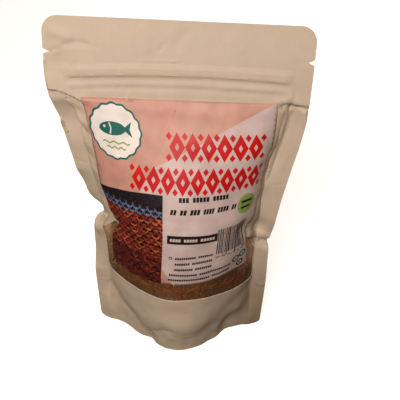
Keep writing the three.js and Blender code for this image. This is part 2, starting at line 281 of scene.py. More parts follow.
def fold_lift(fold, across, height):
    """How far one fold lifts each point. Only the points near its line are worked out."""
    kind, lift, reach, fade, points = fold
    low, high = np.min(points, axis=0) - reach - 1, np.max(points, axis=0) + reach + 1
    near = (across > low[0]) & (across < high[0]) & (height > low[1]) & (height < high[1])
    result = np.zeros(across.shape)
    signed, travel, total = from_line(points, across[near], height[near])
    ends = smoothstep(0, fade[0], travel) * smoothstep(0, fade[1], total - travel)
    far = np.abs(signed)
    if kind == "soft":
        shape = np.exp(-((far / (0.5 * reach)) ** 2))
    elif kind == "sharp":
        shape = np.maximum(0, 1 - far / reach) ** 2
    else:
        slow = np.maximum(0, 1 - far / reach)
        shape = np.where(signed > 0, slow, np.maximum(0, 1 - far / LAP_DROP))
    result[near] = lift * ends * shape
    return result


soft_fold = ("soft", 1.0, 5, (1, 1), level_line)
print("a soft fold 0, 1 and 2.5 mm from its line:",
      fold_lift(soft_fold, np.zeros(3), np.array([0.0, 1.0, 2.5])).round(2))

# %% Folds at the shoulders and down the flanks: kind, lift, reach, how far each end fades out, and the line
FLANK_FOLDS = [
    # left shoulder: the header rolls over the flank
    ("lap", 1.7, 9, (0.1, 9), [(-70, 176.5), (-63.5, 176), (-58.5, 174), (-50.5, 170), (-44, 168)]),
    # right shoulder: a thin ridge, then a broad valley down the seam with a ridge on each side of it
    ("soft", 0.9, 6, (4, 1), [(50, 172.5), (56, 175), (62, 178)]),
    ("soft", -4.4, 14, (3, 20),
     [(63.4, 174.5), (62.8, 167), (62.2, 159), (61.2, 150), (59.6, 139), (56.5, 120)]),
    ("soft", 2.4, 7, (3, 12), [(58, 172), (57.6, 166), (57.2, 158), (56.8, 148), (56.2, 138), (55.5, 124)]),
    ("soft", 2.0, 7, (2, 18), [(67.8, 172), (67, 165), (66.2, 157), (65, 148), (63.4, 137), (60.4, 120)]),
    # pleats down both flanks
    ("soft", -0.7, 5, (2, 6), [(-61, 167), (-52, 161)]),
    ("soft", 0.6, 5, (3, 5), [(-60.5, 160), (-50, 156)]),
    ("soft", -0.9, 5, (2, 5), [(-60, 153.5), (-50, 149.5)]),
    ("soft", 0.5, 5, (3, 5), [(-60.5, 146), (-51, 142)]),
    ("soft", -0.5, 4, (2, 5), [(-60.5, 139), (-51, 134)]),
    ("soft", 0.4, 5, (3, 5), [(-60.5, 130), (-51, 126)]),
    ("soft", -0.4, 4, (2, 5), [(-60.5, 120), (-52, 116)]),
    ("soft", -0.5, 5, (3, 5), [(57, 146), (49, 143)]),
    ("soft", 0.35, 5, (3, 5), [(56, 136), (48, 132)]),
    ("sharp", -0.5, 2.5, (3, 4), [(54, 115), (51, 108), (48, 101)]),
]
print(len(FLANK_FOLDS), "folds at the shoulders and flanks")

# %% Folds at the waist
WAIST_FOLDS = [
    # left waist: the flank above hangs over the wing below, which bulges out under it
    ("lap", 3.2, 11, (3, 8), [(-72, 91), (-62, 95), (-54, 98.3), (-46, 100.3), (-38, 100.5)]),
    ("soft", -3.2, 15, (3, 8), [(-72, 91), (-62, 95), (-54, 98.3), (-46, 100.3), (-38, 100.5)]),
    ("soft", 2.6, 12, (3, 7), [(-70, 81), (-60, 84.5), (-54, 86.5), (-49, 88)]),
    ("soft", 0.8, 12, (14, 6), [(-52, 132), (-50, 112), (-47, 100)]),
    # right waist: a thin crease, a facet that catches the light, and a dark step under it
    ("soft", -3.4, 13, (9, 9), [(34, 100), (52, 93), (66, 84)]),
    ("sharp", -0.7, 2.5, (8, 0.1), [(44, 97), (53, 91), (61, 87), (70, 84)]),
    ("lap", 2.5, 8, (6, 0.1), [(46, 89), (54, 84), (61.5, 79.8), (70, 78.8)]),
    ("soft", -2.2, 7, (6, 0.1), [(46, 88), (54, 83), (61.5, 78.4), (70, 77.4)]),
    ("soft", -1.5, 6, (4, 0.1), [(52, 81.5), (58, 78.4), (64, 75.8), (70, 75)]),
]
print(len(WAIST_FOLDS), "folds at the waist")

# %% Folds at the foot: the belly dips in over the corner seals, and the rim stands out in waves
FOOT_FOLDS = [
    ("soft", -0.65, 9, (3, 6), [(-61, 36), (-52.5, 30), (-46, 22.5), (-38, 17), (-28, 14.5)]),
    ("sharp", -0.25, 5, (3, 6), [(-58, 33), (-52, 28), (-46, 20), (-38, 14)]),
    ("soft", -0.6, 5, (4, 3), [(-18, 13), (-14, 16.5), (-9.5, 20.5), (-5, 21.2), (-1, 19.5)]),
    ("soft", 1.7, 22, (10, 10), [(-60, 0), (-20, 0)]),
    ("soft", 0.8, 22, (10, 10), [(24, 0), (60, 0)]),
    ("soft", -2.4, 15, (0.1, 16), [(41, -2), (41, 26)]),
    ("soft", 3.0, 11, (0.1, 18), [(60.5, -2), (60.5, 26)]),
    ("soft", 4.4, 14, (0.1, 26), [(-60.5, -2), (-60.5, 34)]),
    ("soft", -1.2, 12, (0.1, 14), [(-24, -2), (-24, 18)]),
    ("soft", 0.9, 22, (10, 10), [(-24, 0), (24, 0)]),
    ("soft", 0.6, 7, (2, 1), [(-3, 16), (-8.5, 7.5), (-11, 0)]),
    ("soft", -0.5, 6, (2, 1), [(-17, 12), (-20, 5), (-22, 0)]),
    ("soft", -0.6, 13, (3, 8), [(62, 39), (52, 38), (42, 33.5), (35, 27), (27.5, 20.5), (20, 16), (9, 16)]),
    ("soft", 0.4, 9, (4, 5), [(52, 25), (42, 20.5), (35, 14), (26, 10)]),
    ("soft", -0.4, 6, (2, 1), [(8.5, 15), (6.5, 2.5), (6, 0)]),
    ("soft", -0.5, 10, (4, 4), [(59.5, 46), (60, 30), (60, 8)]),
]
print(len(FOOT_FOLDS), "folds at the foot")

# %% Folds of the seals and the header
SEAL_FOLDS = [
    # the seals under the header: the left one stands out, then turns in
    ("soft", 0.9, 7, (0.1, 0.1), [(-70, 170.5), (-60.5, 171.5)]),
    ("soft", -2.4, 17, (0.1, 3), [(-70, 157), (-57, 160)]),
    ("soft", 1.5, 10, (1.5, 0.1), [(60.5, 172.5), (70, 171)]),
    # the header: creases beside the left notch, small dents, and faint lines beside the zip
    ("soft", 0.7, 5, (2, 3), [(-68, 206), (-60.5, 204), (-53.5, 201.5)]),
    ("sharp", -0.65, 3, (2, 3), [(-60.5, 199), (-52, 200.8), (-44.5, 199.5)]),
    ("sharp", -0.25, 1.2, (2, 6), [(-61, 198), (-37.5, 199)]),
    ("sharp", -0.4, 1.8, (0.5, 1.5), [(-68, 195), (-61, 198)]),
    ("soft", -0.9, 10, (0.1, 8), [(-70, 190.5), (-52, 191.5)]),
    ("sharp", 0.14, 1.0, (0.1, 12), [(-70, 191.7), (-50, 192.2)]),
    ("sharp", 0.14, 1.0, (12, 0.1), [(50, 193.6), (70, 193.4)]),
    ("sharp", 0.28, 1.1, (4, 4), [(-22, 192.6), (-12, 192.9), (2, 193.2)]),
    ("sharp", -0.24, 1.2, (4, 4), [(-21, 191.6), (-10, 191.9), (3, 192.1)]),
    ("sharp", -0.5, 1.8, (0.8, 0.8), [(-7, 202.5), (-10, 197.5)]),
    ("soft", -0.4, 6, (3, 4), [(5, 210), (-3, 198)]),
    ("soft", 0.3, 7, (4, 4), [(-20, 212), (-14, 196)]),
    ("soft", 0.25, 8, (5, 5), [(24, 208), (34, 197)]),
    ("sharp", -0.5, 1.2, (0.4, 0.4), [(-26.5, 179), (-25.5, 178)]),
    ("soft", 0.25, 4, (3, 3), [(20, 180.5), (35, 181.2), (52, 180.6)]),
    ("soft", 0.35, 4, (4, 6), [(-46, 175.8), (-10, 176.6), (30, 176.8), (48, 176)]),
    # small creases in the label, where the sheets are apart and only the front one bends
    ("sharp", 0.4, 2.2, (1, 1), [(-29.5, 170), (-25.5, 176)]),
    ("soft", 0.3, 3.5, (3, 3), [(-12.5, 80), (-8.5, 67)]),
    ("sharp", 0.3, 2.0, (3, 3), [(23, 163), (25, 175)]),
    # small creases across the seals
    ("sharp", -0.22, 1.1, (0.1, 0.5), [(-70, 49), (-62, 47.4)]),
    ("sharp", -0.25, 1.2, (0.1, 0.5), [(-70, 38), (-61.5, 37.6)]),
    ("sharp", 0.22, 1.2, (0.1, 0.5), [(-70, 24), (-62, 20)]),
    ("sharp", -0.22, 1.2, (0.5, 0.5), [(-68, 16.5), (-63, 12.5), (-61, 7)]),
    ("lap", 0.5, 4, (0.5, 0.1), [(61.5, 44.5), (62.5, 40.5), (65, 37.6), (70, 37.8)]),
    ("sharp", 0.25, 1.1, (1, 1), [(62.5, 14), (69, 15)]),
    ("sharp", -0.25, 1.4, (0.1, 0.5), [(-70, 133), (-62, 130)]),
    ("sharp", -0.22, 1.3, (0.5, 0.1), [(62, 121), (70, 124)]),
]
print(len(SEAL_FOLDS), "folds in the seals and the header")

# %% Folds of the back, which is calmer than the front
BACK_FOLDS = [
    ("lap", 1.4, 10, (0.1, 14), [(-70, 174), (-50, 170), (-30, 168)]),
    ("soft", -1.3, 6, (4, 8), [(62, 174), (52, 168), (38, 165)]),
    ("sharp", -0.9, 5, (4, 10), [(-60, 96), (-44, 99), (-26, 97)]),
    ("soft", 0.8, 8, (4, 10), [(-60, 88), (-42, 90), (-24, 88)]),
    ("sharp", -0.8, 5, (10, 4), [(26, 86), (44, 88), (60, 82)]),
    ("soft", 0.7, 8, (10, 4), [(24, 78), (44, 79), (60, 74)]),
    ("soft", -1.4, 8, (3, 5), [(-61, 37), (-48, 30), (-32, 18), (-14, 14)]),
    ("soft", -1.4, 8, (3, 5), [(61, 37), (48, 31), (32, 19), (14, 14)]),
    ("soft", 0.8, 7, (4, 5), [(-52, 23), (-38, 12), (-26, 7)]),
    ("soft", 0.8, 7, (4, 5), [(52, 23), (38, 12), (26, 7)]),
    ("soft", -0.6, 9, (8, 8), [(-38, 150), (-20, 130), (-14, 104)]),
    ("soft", -0.6, 9, (8, 8), [(40, 152), (22, 128), (18, 100)]),
    ("soft", 0.5, 10, (8, 8), [(-8, 160), (2, 130), (4, 96)]),
]
print(len(BACK_FOLDS), "folds behind")

# %% [markdown]
# ## Waviness, and the zip
# Between its folds the paper is never quite flat. A sum of faint random waves gives it that unrest, with
# a fixed seed so that it comes out alike each time. The zip is two plastic ribs between the sheets, and
# they press a thick and a thin ridge into both.

# %% Waves
WAVE_COUNT = 26
WAVE_STEEPNESS = 0.0024
wave_rng = np.random.default_rng(7)
wave_lengths = wave_rng.uniform(9, 34, WAVE_COUNT)
wave_angles = wave_rng.uniform(0, np.pi, WAVE_COUNT)
wave_phases = wave_rng.uniform(0, 2 * np.pi, WAVE_COUNT)
WAVES = list(zip(2 * np.pi / wave_lengths, wave_angles, wave_phases, WAVE_STEEPNESS * wave_lengths))


def waviness(offset, across, height):
    """The sum of the waves. Another offset gives another sheet of paper."""
    total = np.zeros(across.shape)
    for number, angle, phase, size in WAVES:
        along = across * math.cos(angle) + height * math.sin(angle)
        total += size * np.sin(number * along + phase + offset)
    return total


print("waves:", WAVE_COUNT, "from", round(wave_lengths.min()), "to", round(wave_lengths.max()), "mm long")

# %% The zip's ridges, and the curl of the right seal
ZIP_RIDGES = [(185.6, 189.2, 1.0), (180.2, 181.2, 0.4)]
ZIP_SLOPE_ABOVE, ZIP_SLOPE_BELOW = 1.6, 1.4
ZIP_RAISED, ZIP_TILT, ZIP_BOW = 0.8, 0.015, 0.00058
SEAL_CURL = 2.0


def zip_lift(across, height):
    """The ridges of the zip, which bow down a little towards both sides."""
    height = height - (ZIP_RAISED + ZIP_TILT * across - ZIP_BOW * across**2)
    between = smoothstep(HALF_PANEL + 0.5, HALF_PANEL - 5, np.abs(across))
    total = np.zeros(across.shape)
    for bottom, top, rise in ZIP_RIDGES:
        up = smoothstep(bottom - ZIP_SLOPE_BELOW, bottom, height)
        down = smoothstep(top + ZIP_SLOPE_ABOVE, top, height)
        total += rise * up * down
    return total * between


def seal_curl(across, height):
    """The right side seal curls forwards between the waist and the shoulder."""
    past = np.clip((across - HALF_PANEL) / SEAL_WIDTH, 0, 1)
    return SEAL_CURL * past**1.2 * smoothstep(84, 98, height) * smoothstep(174, 164, height)


print("the zip's thick ridge stands", zip_lift(np.zeros(1), np.array([188.0])).round(1), "mm out")

# %% How far the paper stands off its smooth surface
SEALED_WAVES = 0.35


def paper_lift(side, across, height):
    """All that bends one sheet. Where the two sheets are sealed together they move as one."""
    loose = smoothstep(HALF_PANEL + 0.5, HALF_PANEL - 3, np.abs(across)) * smoothstep(184, 177, height)
    shared = waviness(0, across, height) * (SEALED_WAVES + (1 - SEALED_WAVES) * loose)
    shared += seal_curl(across, height)
    for fold in SEAL_FOLDS + FLANK_FOLDS + WAIST_FOLDS + FOOT_FOLDS:
        shared += fold_lift(fold, across, height)
    if side == FRONT:
        return shared + zip_lift(across, height)
    own = waviness(1, across, height)
    for fold in BACK_FOLDS:
        own += fold_lift(fold, across, height)
    return loose * own - (1 - loose) * shared + zip_lift(across, height)


left_waist = np.array([[-46.0, 100.0], [-46.0, 96.0]])
print("just above and below the left waist's fold:", paper_lift(FRONT, *left_waist.T).round(1), "mm")

# %% Lay flat points on the bag
def from_grid(grid, across, height):
    """The value between the grid's points, for many places at once."""
    column = np.clip((across - ACROSS[0]) / GRID, 0, len(ACROSS) - 1.001)
    row = np.clip(height / GRID, 0, len(HEIGHTS) - 1.001)
    c, r = column.astype(int), row.astype(int)
    fc, fr = (column - c)[:, None], (row - r)[:, None]
    lower = grid[r, c] * (1 - fc) + grid[r, c + 1] * fc
    upper = grid[r + 1, c] * (1 - fc) + grid[r + 1, c + 1] * fc
    return lower * (1 - fr) + upper * fr


def on_paper(side, flat, lift=0.0):
    """Points of the flat sheet, laid on the bag and lifted off it. Everything in millimetres."""
    across, height = flat[:, 0], flat[:, 1]
    direction = from_grid(directions[side], across, height)
    direction /= np.linalg.norm(direction, axis=1, keepdims=True)
    stand = HALF_SEAL_THICKNESS + paper_lift(side, across, height) + lift
    laid = from_grid(places[side], across, height) + direction * np.reshape(stand, (-1, 1))
    laid[:, 2] = np.maximum(laid[:, 2], 0)
    return laid


probe = on_paper(FRONT, np.array([[0.0, 96.0], [0.0, 200.0]]))
print("front at the waist and header:", probe.round(1).tolist())

# %% [markdown]
# ## Cutting a flat sheet
# A grid of squares follows a rounded corner or a slanted edge badly. So each sheet is cut as a pattern:
# its outline, its holes and evenly spread points inside go to a Delaunay triangulation, which keeps
# every cut edge exact and the triangles even.

# %% Outlines: even steps along them, what lies inside, and how far away
def resampled(points, step):
    closed = [*points, points[0]]
    result = []
    for a, b in zip(closed, closed[1:]):
        count = max(1, math.ceil(math.dist(a, b) / step))
        result += [(a[0] + (b[0] - a[0]) * i / count, a[1] + (b[1] - a[1]) * i / count) for i in range(count)]
    return np.array(result)


def inside(points, outline):
    hit = np.zeros(len(points), bool)
    x, y = points[:, 0], points[:, 1]
    for (ax, ay), (bx, by) in zip(outline, np.roll(outline, -1, axis=0)):
        crosses = (ay > y) != (by > y)
        if ay != by:
            hit ^= crosses & (x < ax + (y - ay) / (by - ay) * (bx - ax))
    return hit


def distance_to(points, outline):
    nearest = np.full(len(points), 1e9)
    for a, b in zip(outline, np.roll(outline, -1, axis=0)):
        step = b - a
        t = np.clip((points - a) @ step / max(step @ step, 1e-12), 0, 1)
        nearest = np.minimum(nearest, np.linalg.norm(points - a - t[:, None] * step, axis=1))
    return nearest


square = resampled([(0, 0), (10, 0), (10, 10), (0, 10)], 1.0)
print("a 10 mm square has", len(square), "points at 1 mm steps")

# %% Cut a sheet into triangles
ROW_SPACING = 0.87


def spread(low, high, spacing):
    """Evenly spread points. Every other row is moved half a step, so that the triangles are nearly even."""
    rows = np.arange(low[1], high[1], spacing * ROW_SPACING)
    columns = np.arange(low[0], high[0], spacing)
    return np.array([(x + (spacing / 2 if i % 2 else 0), z) for i, z in enumerate(rows) for x in columns])


def cut_sheet(outline, spacing, holes=(), marks=()):
    """Flat points and triangles inside the outline. The outline's own points come first, in order."""
    cuts = [outline, *holes, *marks]
    filling = spread(outline.min(axis=0), outline.max(axis=0), spacing)
    keep = inside(filling, outline) & (distance_to(filling, outline) > 0.5 * spacing)
    for hole in holes:
        keep &= ~inside(filling, hole) & (distance_to(filling, hole) > 0.5 * spacing)
    points = np.concatenate([*cuts, filling[keep]])
    edges, start = [], 0
    for cut in cuts:
        edges += [(start + i, start + (i + 1) % len(cut)) for i in range(len(cut))]
        start += len(cut)
    made = delaunay_2d_cdt([Vector(p) for p in points.tolist()], edges, [], 0, 1e-5, False)
    flat = np.array([tuple(p) for p in made[0]])
    triangles = np.array(made[2])
    middle = flat[triangles].mean(axis=1)
    wanted = inside(middle, outline)
    for hole in holes:
        wanted &= ~inside(middle, hole)
    triangles = triangles[wanted]
    a, b, c = (flat[triangles[:, i]] for i in range(3))
    turn = (b - a)[:, 0] * (c - a)[:, 1] - (b - a)[:, 1] * (c - a)[:, 0]
    triangles[turn < 0] = triangles[turn < 0][:, ::-1]
    used, triangles = np.unique(triangles, return_inverse=True)
    return flat[used], triangles.reshape(-1, 3)


print("it is cut into", len(cut_sheet(square, 1.0)[1]), "triangles")

# %% [markdown]
# ## Meshes and nodes
# One helper turns points into an object that rides with the bag's only body, in place of a CAD node. A
# second adds a shader node with its settings and its links. The rest keep units and colours right.

# %% Helpers for pieces
def make_piece(name, points_mm, faces, materials, node):
    mesh = bpy.data.meshes.new(name)
    mesh.from_pydata((np.asarray(points_mm) * MM).tolist(), [], [list(map(int, face)) for face in faces])
    mesh.validate()
    mesh.shade_smooth()
    for material in materials:
        mesh.materials.append(material)
    piece = bpy.data.objects.new(name, mesh)
    bpy.context.scene.collection.objects.link(piece)
    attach(piece, "root")
    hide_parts(node)
    return piece


def thicken(piece, thickness_mm):
    """Gives a sheet its thickness on the inner side, so that its outer face stays where it is."""
    solid = piece.modifiers.new("paper_thickness", "SOLIDIFY")
    solid.thickness = thickness_mm * MM
    solid.offset = -1
    solid.use_even_offset = False


def with_tone(piece, tone):
    """A number for each point, which the piece's material reads."""
    layer = piece.data.attributes.new("tone", "FLOAT", "POINT")
    layer.data.foreach_set("value", tone.astype(np.float32))


# %% Helpers for materials
def colour(hex_code):
    """An sRGB hex colour as the linear values that Blender's sockets take."""
    channels = [int(hex_code[i:i + 2], 16) / 255 for i in (1, 3, 5)]
    linear = [c / 12.92 if c <= 0.04045 else ((c + 0.055) / 1.055) ** 2.4 for c in channels]
    return (*linear, 1.0)


def add(tree, kind, inputs=None, **settings):
    """Adds a node. An input is either a value or the socket that feeds it."""
    node = tree.nodes.new(kind)
    for name, value in settings.items():
        setattr(node, name, value)
    for name, value in (inputs or {}).items():
        if isinstance(value, bpy.types.NodeSocket):
            tree.links.new(value, node.inputs[name])
        else:
            node.inputs[name].default_value = value
    return node


def new_material(name):
    material = bpy.data.materials.new(name)
    material.use_nodes = True
    material.node_tree.nodes.clear()
    return material, material.node_tree


def per_mm(size):
    """The texture scale that makes a pattern this many millimetres across, in metres of space."""
    return 1 / (size * MM)


print("sRGB #808080 is linear", [round(channel, 3) for channel in colour("#808080")])

# %% [markdown]
# ## Kraft paper
# Natural kraft is unbleached softwood pulp, pressed to a dull tan sheet and laminated to clear plastic.
# The eye gets a matt surface, a faint mottle, short fibres that lie mostly one way, and a few dark
# specks of bark. The real fibres are 0.03 mm thick, too fine to show, so they are drawn at 0.3 mm. Low
# on the right the paper is painted darker, as painted shade. A number on each point, its tone, says how much.

# %% Kraft material
def kraft_paper():
    material, tree = new_material("kraft_paper_unbleached")
    place = add(tree, "ShaderNodeTexCoord").outputs["Object"]
    lying = add(tree, "ShaderNodeMapping", {"Vector": place, "Scale": (0.4, 0.6, 1.0)})
    fibres = add(tree, "ShaderNodeTexNoise", {
        "Vector": lying.outputs["Vector"], "Scale": per_mm(0.3), "Detail": 3.0, "Roughness": 0.6})
    mottle = add(tree, "ShaderNodeTexNoise", {"Vector": place, "Scale": per_mm(5), "Detail": 4.0})
    cloud = add(tree, "ShaderNodeTexNoise", {"Vector": place, "Scale": per_mm(38), "Detail": 2.0})
    specks = add(tree, "ShaderNodeTexVoronoi", {"Vector": place, "Scale": per_mm(4.5), "Randomness": 1.0})
    pulp = add(tree, "ShaderNodeMix", {
        "Factor": mottle.outputs["Fac"], "A": colour("#AC9682"), "B": colour("#C1AD9C")}, data_type="RGBA")
    aged = add(tree, "ShaderNodeMix", {
        "Factor": cloud.outputs["Fac"], "A": pulp.outputs["Result"], "B": colour("#B6A28B")},
        data_type="RGBA")
    thread = add(tree, "ShaderNodeMapRange", {
        "Value": fibres.outputs["Fac"], "From Min": 0.35, "From Max": 0.7, "To Min": 0.0, "To Max": 0.2})
    fibred = add(tree, "ShaderNodeMix", {
        "Factor": thread.outputs["Result"], "A": aged.outputs["Result"], "B": colour("#D0C1AD")},
        data_type="RGBA")
    speck = add(tree, "ShaderNodeMapRange", {
        "Value": specks.outputs["Distance"], "From Min": 0.06, "From Max": 0.03,
        "To Min": 0.0, "To Max": 0.55})
    dotted = add(tree, "ShaderNodeMix", {
        "Factor": speck.outputs["Result"], "A": fibred.outputs["Result"], "B": colour("#7E5F3F")},
        data_type="RGBA")
    # The tone darkens the paper towards a brown: painted shade low on the right.
    painted_shade_share = add(tree, "ShaderNodeAttribute", attribute_name="tone")
    painted_shade_mix = add(tree, "ShaderNodeMix", {
        "Factor": painted_shade_share.outputs["Fac"], "A": dotted.outputs["Result"], "B": colour("#846E55")},
        data_type="RGBA")
    grain = add(tree, "ShaderNodeBump", {
        "Height": fibres.outputs["Fac"], "Strength": 0.35, "Distance": 0.05 * MM})
    rough = add(tree, "ShaderNodeMapRange", {"Value": mottle.outputs["Fac"], "To Min": 0.5, "To Max": 0.72})
    shader = add(tree, "ShaderNodeBsdfPrincipled", {
        "Base Color": painted_shade_mix.outputs["Result"], "Roughness": rough.outputs["Result"],
        "Normal": grain.outputs["Normal"], "IOR": 1.47, "Specular IOR Level": 0.35})
    add(tree, "ShaderNodeOutputMaterial", {"Surface": shader.outputs["BSDF"]})
    return material


kraft = kraft_paper()
print("made", kraft.name)

# %% [markdown]
# ## The bag's pattern
# Front and back are cut alike: rounded top corners, small foot corners and a tear notch at each side.
# The front also has the window. Its two top corners are cut off slantwise, the right one lower, where a
# fold hides it, and its lower edge is a shallow curve that ends lower on the right. Both sheets share the
# outline's points, so that their edges meet point by point.

# %% Sizes of the pattern
PAPER_STEP = 1.0
BACK_STEP = 1.5
TOP_CORNER = 8.0
FOOT_CORNER = 3.5
NOTCH_HEIGHT = 195.6
NOTCH_DEPTH = 3.2
NOTCH_HALF = 1.4
WINDOW_HALF = 59.0
WINDOW_TOP = 96.0
WINDOW_CHAMFER = 12.0
WINDOW_FOOT = [(-59, 53), (-58.4, 51.4), (-57, 50.6), (-35, 51.2), (-15, 52.2), (5, 52.4),
               (18, 51.7), (30, 49.6), (42, 47.4), (56.5, 46.4), (58.4, 47), (59, 48.6)]
print("window:", 2 * WINDOW_HALF, "mm wide, from", min(z for _, z in WINDOW_FOOT), "to", WINDOW_TOP, "mm up")

# %% Outline, notches and window
def corner(centre, radius, start_degrees, steps):
    turn = [math.radians(start_degrees + 90 * i / steps) for i in range(steps + 1)]
    return [(centre[0] + radius * math.cos(a), centre[1] + radius * math.sin(a)) for a in turn]


def bag_outline():
    half = BAG_WIDTH / 2
    into_notch = [(0, -NOTCH_HALF), (2, -0.5), (NOTCH_DEPTH, 0), (2, 0.5), (0, NOTCH_HALF)]
    notch = [(half - depth, NOTCH_HEIGHT + rise) for depth, rise in into_notch]
    right = corner((half - FOOT_CORNER, FOOT_CORNER), FOOT_CORNER, -90, 5) + notch
    right += corner((half - TOP_CORNER, BAG_HEIGHT - TOP_CORNER), TOP_CORNER, 0, 10)
    left = [(-x, z) for x, z in reversed(right)]
    return resampled(right + left, PAPER_STEP)


def window_outline(margin=0.0):
    """The hole in the paper, or with a margin the film that closes it."""
    half, top = WINDOW_HALF + margin, WINDOW_TOP + margin
    foot = [(x * half / WINDOW_HALF, z - margin) for x, z in WINDOW_FOOT]
    right_corner = [(half, top - 15.5), (46 + margin, top - 7.5), (40, top)]
    left_corner = [(WINDOW_CHAMFER - half, top), (-half, top - WINDOW_CHAMFER)]
    return resampled(foot + right_corner + left_corner, PAPER_STEP)


outline = bag_outline()
window = window_outline()
front_flat, front_faces = cut_sheet(outline, PAPER_STEP, holes=[window])
back_flat, back_faces = cut_sheet(outline, BACK_STEP)
print("front", len(front_faces), "and back", len(back_faces), "triangles")
print(len(outline), "points along the shared edge")

# %% [markdown]
# ## The gusset, and the whole bag
# Underneath, a folded sheet spreads the bag open. From a flat rim, on which the bag stands, it rises
# towards the fold along its middle. The edge strips and the gusset join the two sheets into one closed
# skin, and a Solidify modifier gives the skin the thickness of paper, which shows round the window. The
# label is pressed into the paper, so its outline is needed here too, to keep the paper just behind it.

# %% Outline of the label, and the paper under it
LABEL_LEFT, LABEL_RIGHT = -52.3, 53.3
LABEL_LOW, LABEL_HIGH = 62.5, 174.0
PRINT_STEP = 2.0
# The label's sides are drawn in at the waist, where they dip into the folds.
label_foot = [(-46, LABEL_LOW), (-33, 63.4), (-20, 64.6), (-10, 65.3), (15, 66), (50, 65), (51.5, 67)]
label_right_side = [(49.5, 76), (46.8, 87), (47.5, 94), (50.5, 101), (52.5, 108), (LABEL_RIGHT, 118)]
label_top = [(LABEL_RIGHT, LABEL_HIGH), (LABEL_LEFT, 172.8)]
label_left_side = [(LABEL_LEFT, 118), (-50.4, 111.5), (-47, 107), (-43.5, 102.5), (-40.2, 99.6),
                   (-44.5, 92.5), (-47, 85), (-48.7, 72), (-48.5, 65.5)]
label_outline = resampled(label_foot + label_right_side + label_top + label_left_side, PRINT_STEP)
UNDER_LABEL = 0.45


def under_label(flat):
    """The paper stays a little behind the label that covers it."""
    from_edge = np.where(inside(flat, label_outline), distance_to(flat, label_outline), 0)
    return UNDER_LABEL * smoothstep(0.8, 2.2, from_edge)


print("label:", round(LABEL_RIGHT - LABEL_LEFT, 1), "by", LABEL_HIGH - LABEL_LOW, "mm")

# %% Gusset
RIM_WIDTH = 3.0
GUSSET_RISE = 5.0
GUSSET_SLOPE = 0.35
GUSSET_STOPS = 15


def gusset_row(front_point, back_point):
    """Points of the gusset from the front rim to the back rim, with a faint wave along its fold."""
    depth = back_point[1] - front_point[1]
    even = np.linspace(0, depth, GUSSET_STOPS)[1:-1]
    stops = np.unique(np.concatenate([[RIM_WIDTH, depth - RIM_WIDTH], even]))
    row = []
    for stop in stops:
        rise = np.clip(GUSSET_SLOPE * (min(stop, depth - stop) - RIM_WIDTH), 0, GUSSET_RISE)
        rise *= 0.85 + 0.15 * math.cos(0.35 * front_point[0] + 0.2 * stop)
        row.append(front_point + (back_point - front_point) * (stop / depth) + np.array([0, 0, rise]))
    return row


middle_row = gusset_row(np.array([0.0, -30.0, 0.0]), np.array([0.0, 30.0, 0.0]))
print("gusset rises to", round(float(max(point[2] for point in middle_row)), 1), "mm in the middle")

# %% Join the sheets into the bag
PAPER_THICKNESS = 0.25


def bag_skin():
    """Points and faces of the closed skin: the front, the back, the strips between them, the gusset."""
    front = on_paper(FRONT, front_flat, -under_label(front_flat))
    back = on_paper(BACK, back_flat)
    points = [*front, *back]
    faces = [*front_faces.tolist(), *(back_faces[:, ::-1] + len(front)).tolist()]
    count = len(outline)
    on_foot = [i for i in range(count) if outline[i][1] < 1e-6]
    foot = sorted(on_foot, key=lambda i: outline[i][0])
    foot_pairs = set(zip(foot, foot[1:])) | set(zip(foot[1:], foot))
    for i in range(count):
        j = (i + 1) % count
        if (i, j) not in foot_pairs:
            faces.append([i, len(front) + i, len(front) + j, j])
    columns = []
    for position, i in enumerate(foot):
        at_front, at_back = i, len(front) + i
        if position in (0, len(foot) - 1) or back[i][1] - front[i][1] < 4 * RIM_WIDTH:
            half_row = (GUSSET_STOPS + 1) // 2
            columns.append([at_front] * (half_row + 1) + [at_back] * half_row)
            continue
        row = gusset_row(front[i], back[i])
        columns.append([at_front, *range(len(points), len(points) + len(row)), at_back])
        points += row
    for a, b in zip(columns, columns[1:]):
        for k in range(len(a) - 1):
            face = list(dict.fromkeys([a[k], a[k + 1], b[k + 1], b[k]]))
            if len(face) > 2:
                faces.append(face)
    return np.array(points), faces


skin_points, skin_faces = bag_skin()
pouch = make_piece("kraft_pouch", skin_points, skin_faces, [kraft], "pouch")
pouch.data.set_sharp_from_angle(angle=math.radians(38))
thicken(pouch, PAPER_THICKNESS)
print("bag skin:", len(skin_points), "points,", len(skin_faces), "faces")

# %% Painted shade low on the right of the paper
MOST_PAINTED_SHADE = 0.8
sheets = np.concatenate([front_flat, back_flat])
painted_shade = np.zeros(len(skin_points))
# Darker towards the lower right: painted shade for the shadow that falls there.
painted_shade[:len(sheets)] = MOST_PAINTED_SHADE * smoothstep(36, 60, sheets[:, 0]) * smoothstep(72, 14, sheets[:, 1])
with_tone(pouch, painted_shade)
print("points with oil on them:", int((painted_shade > 0.01).sum()))
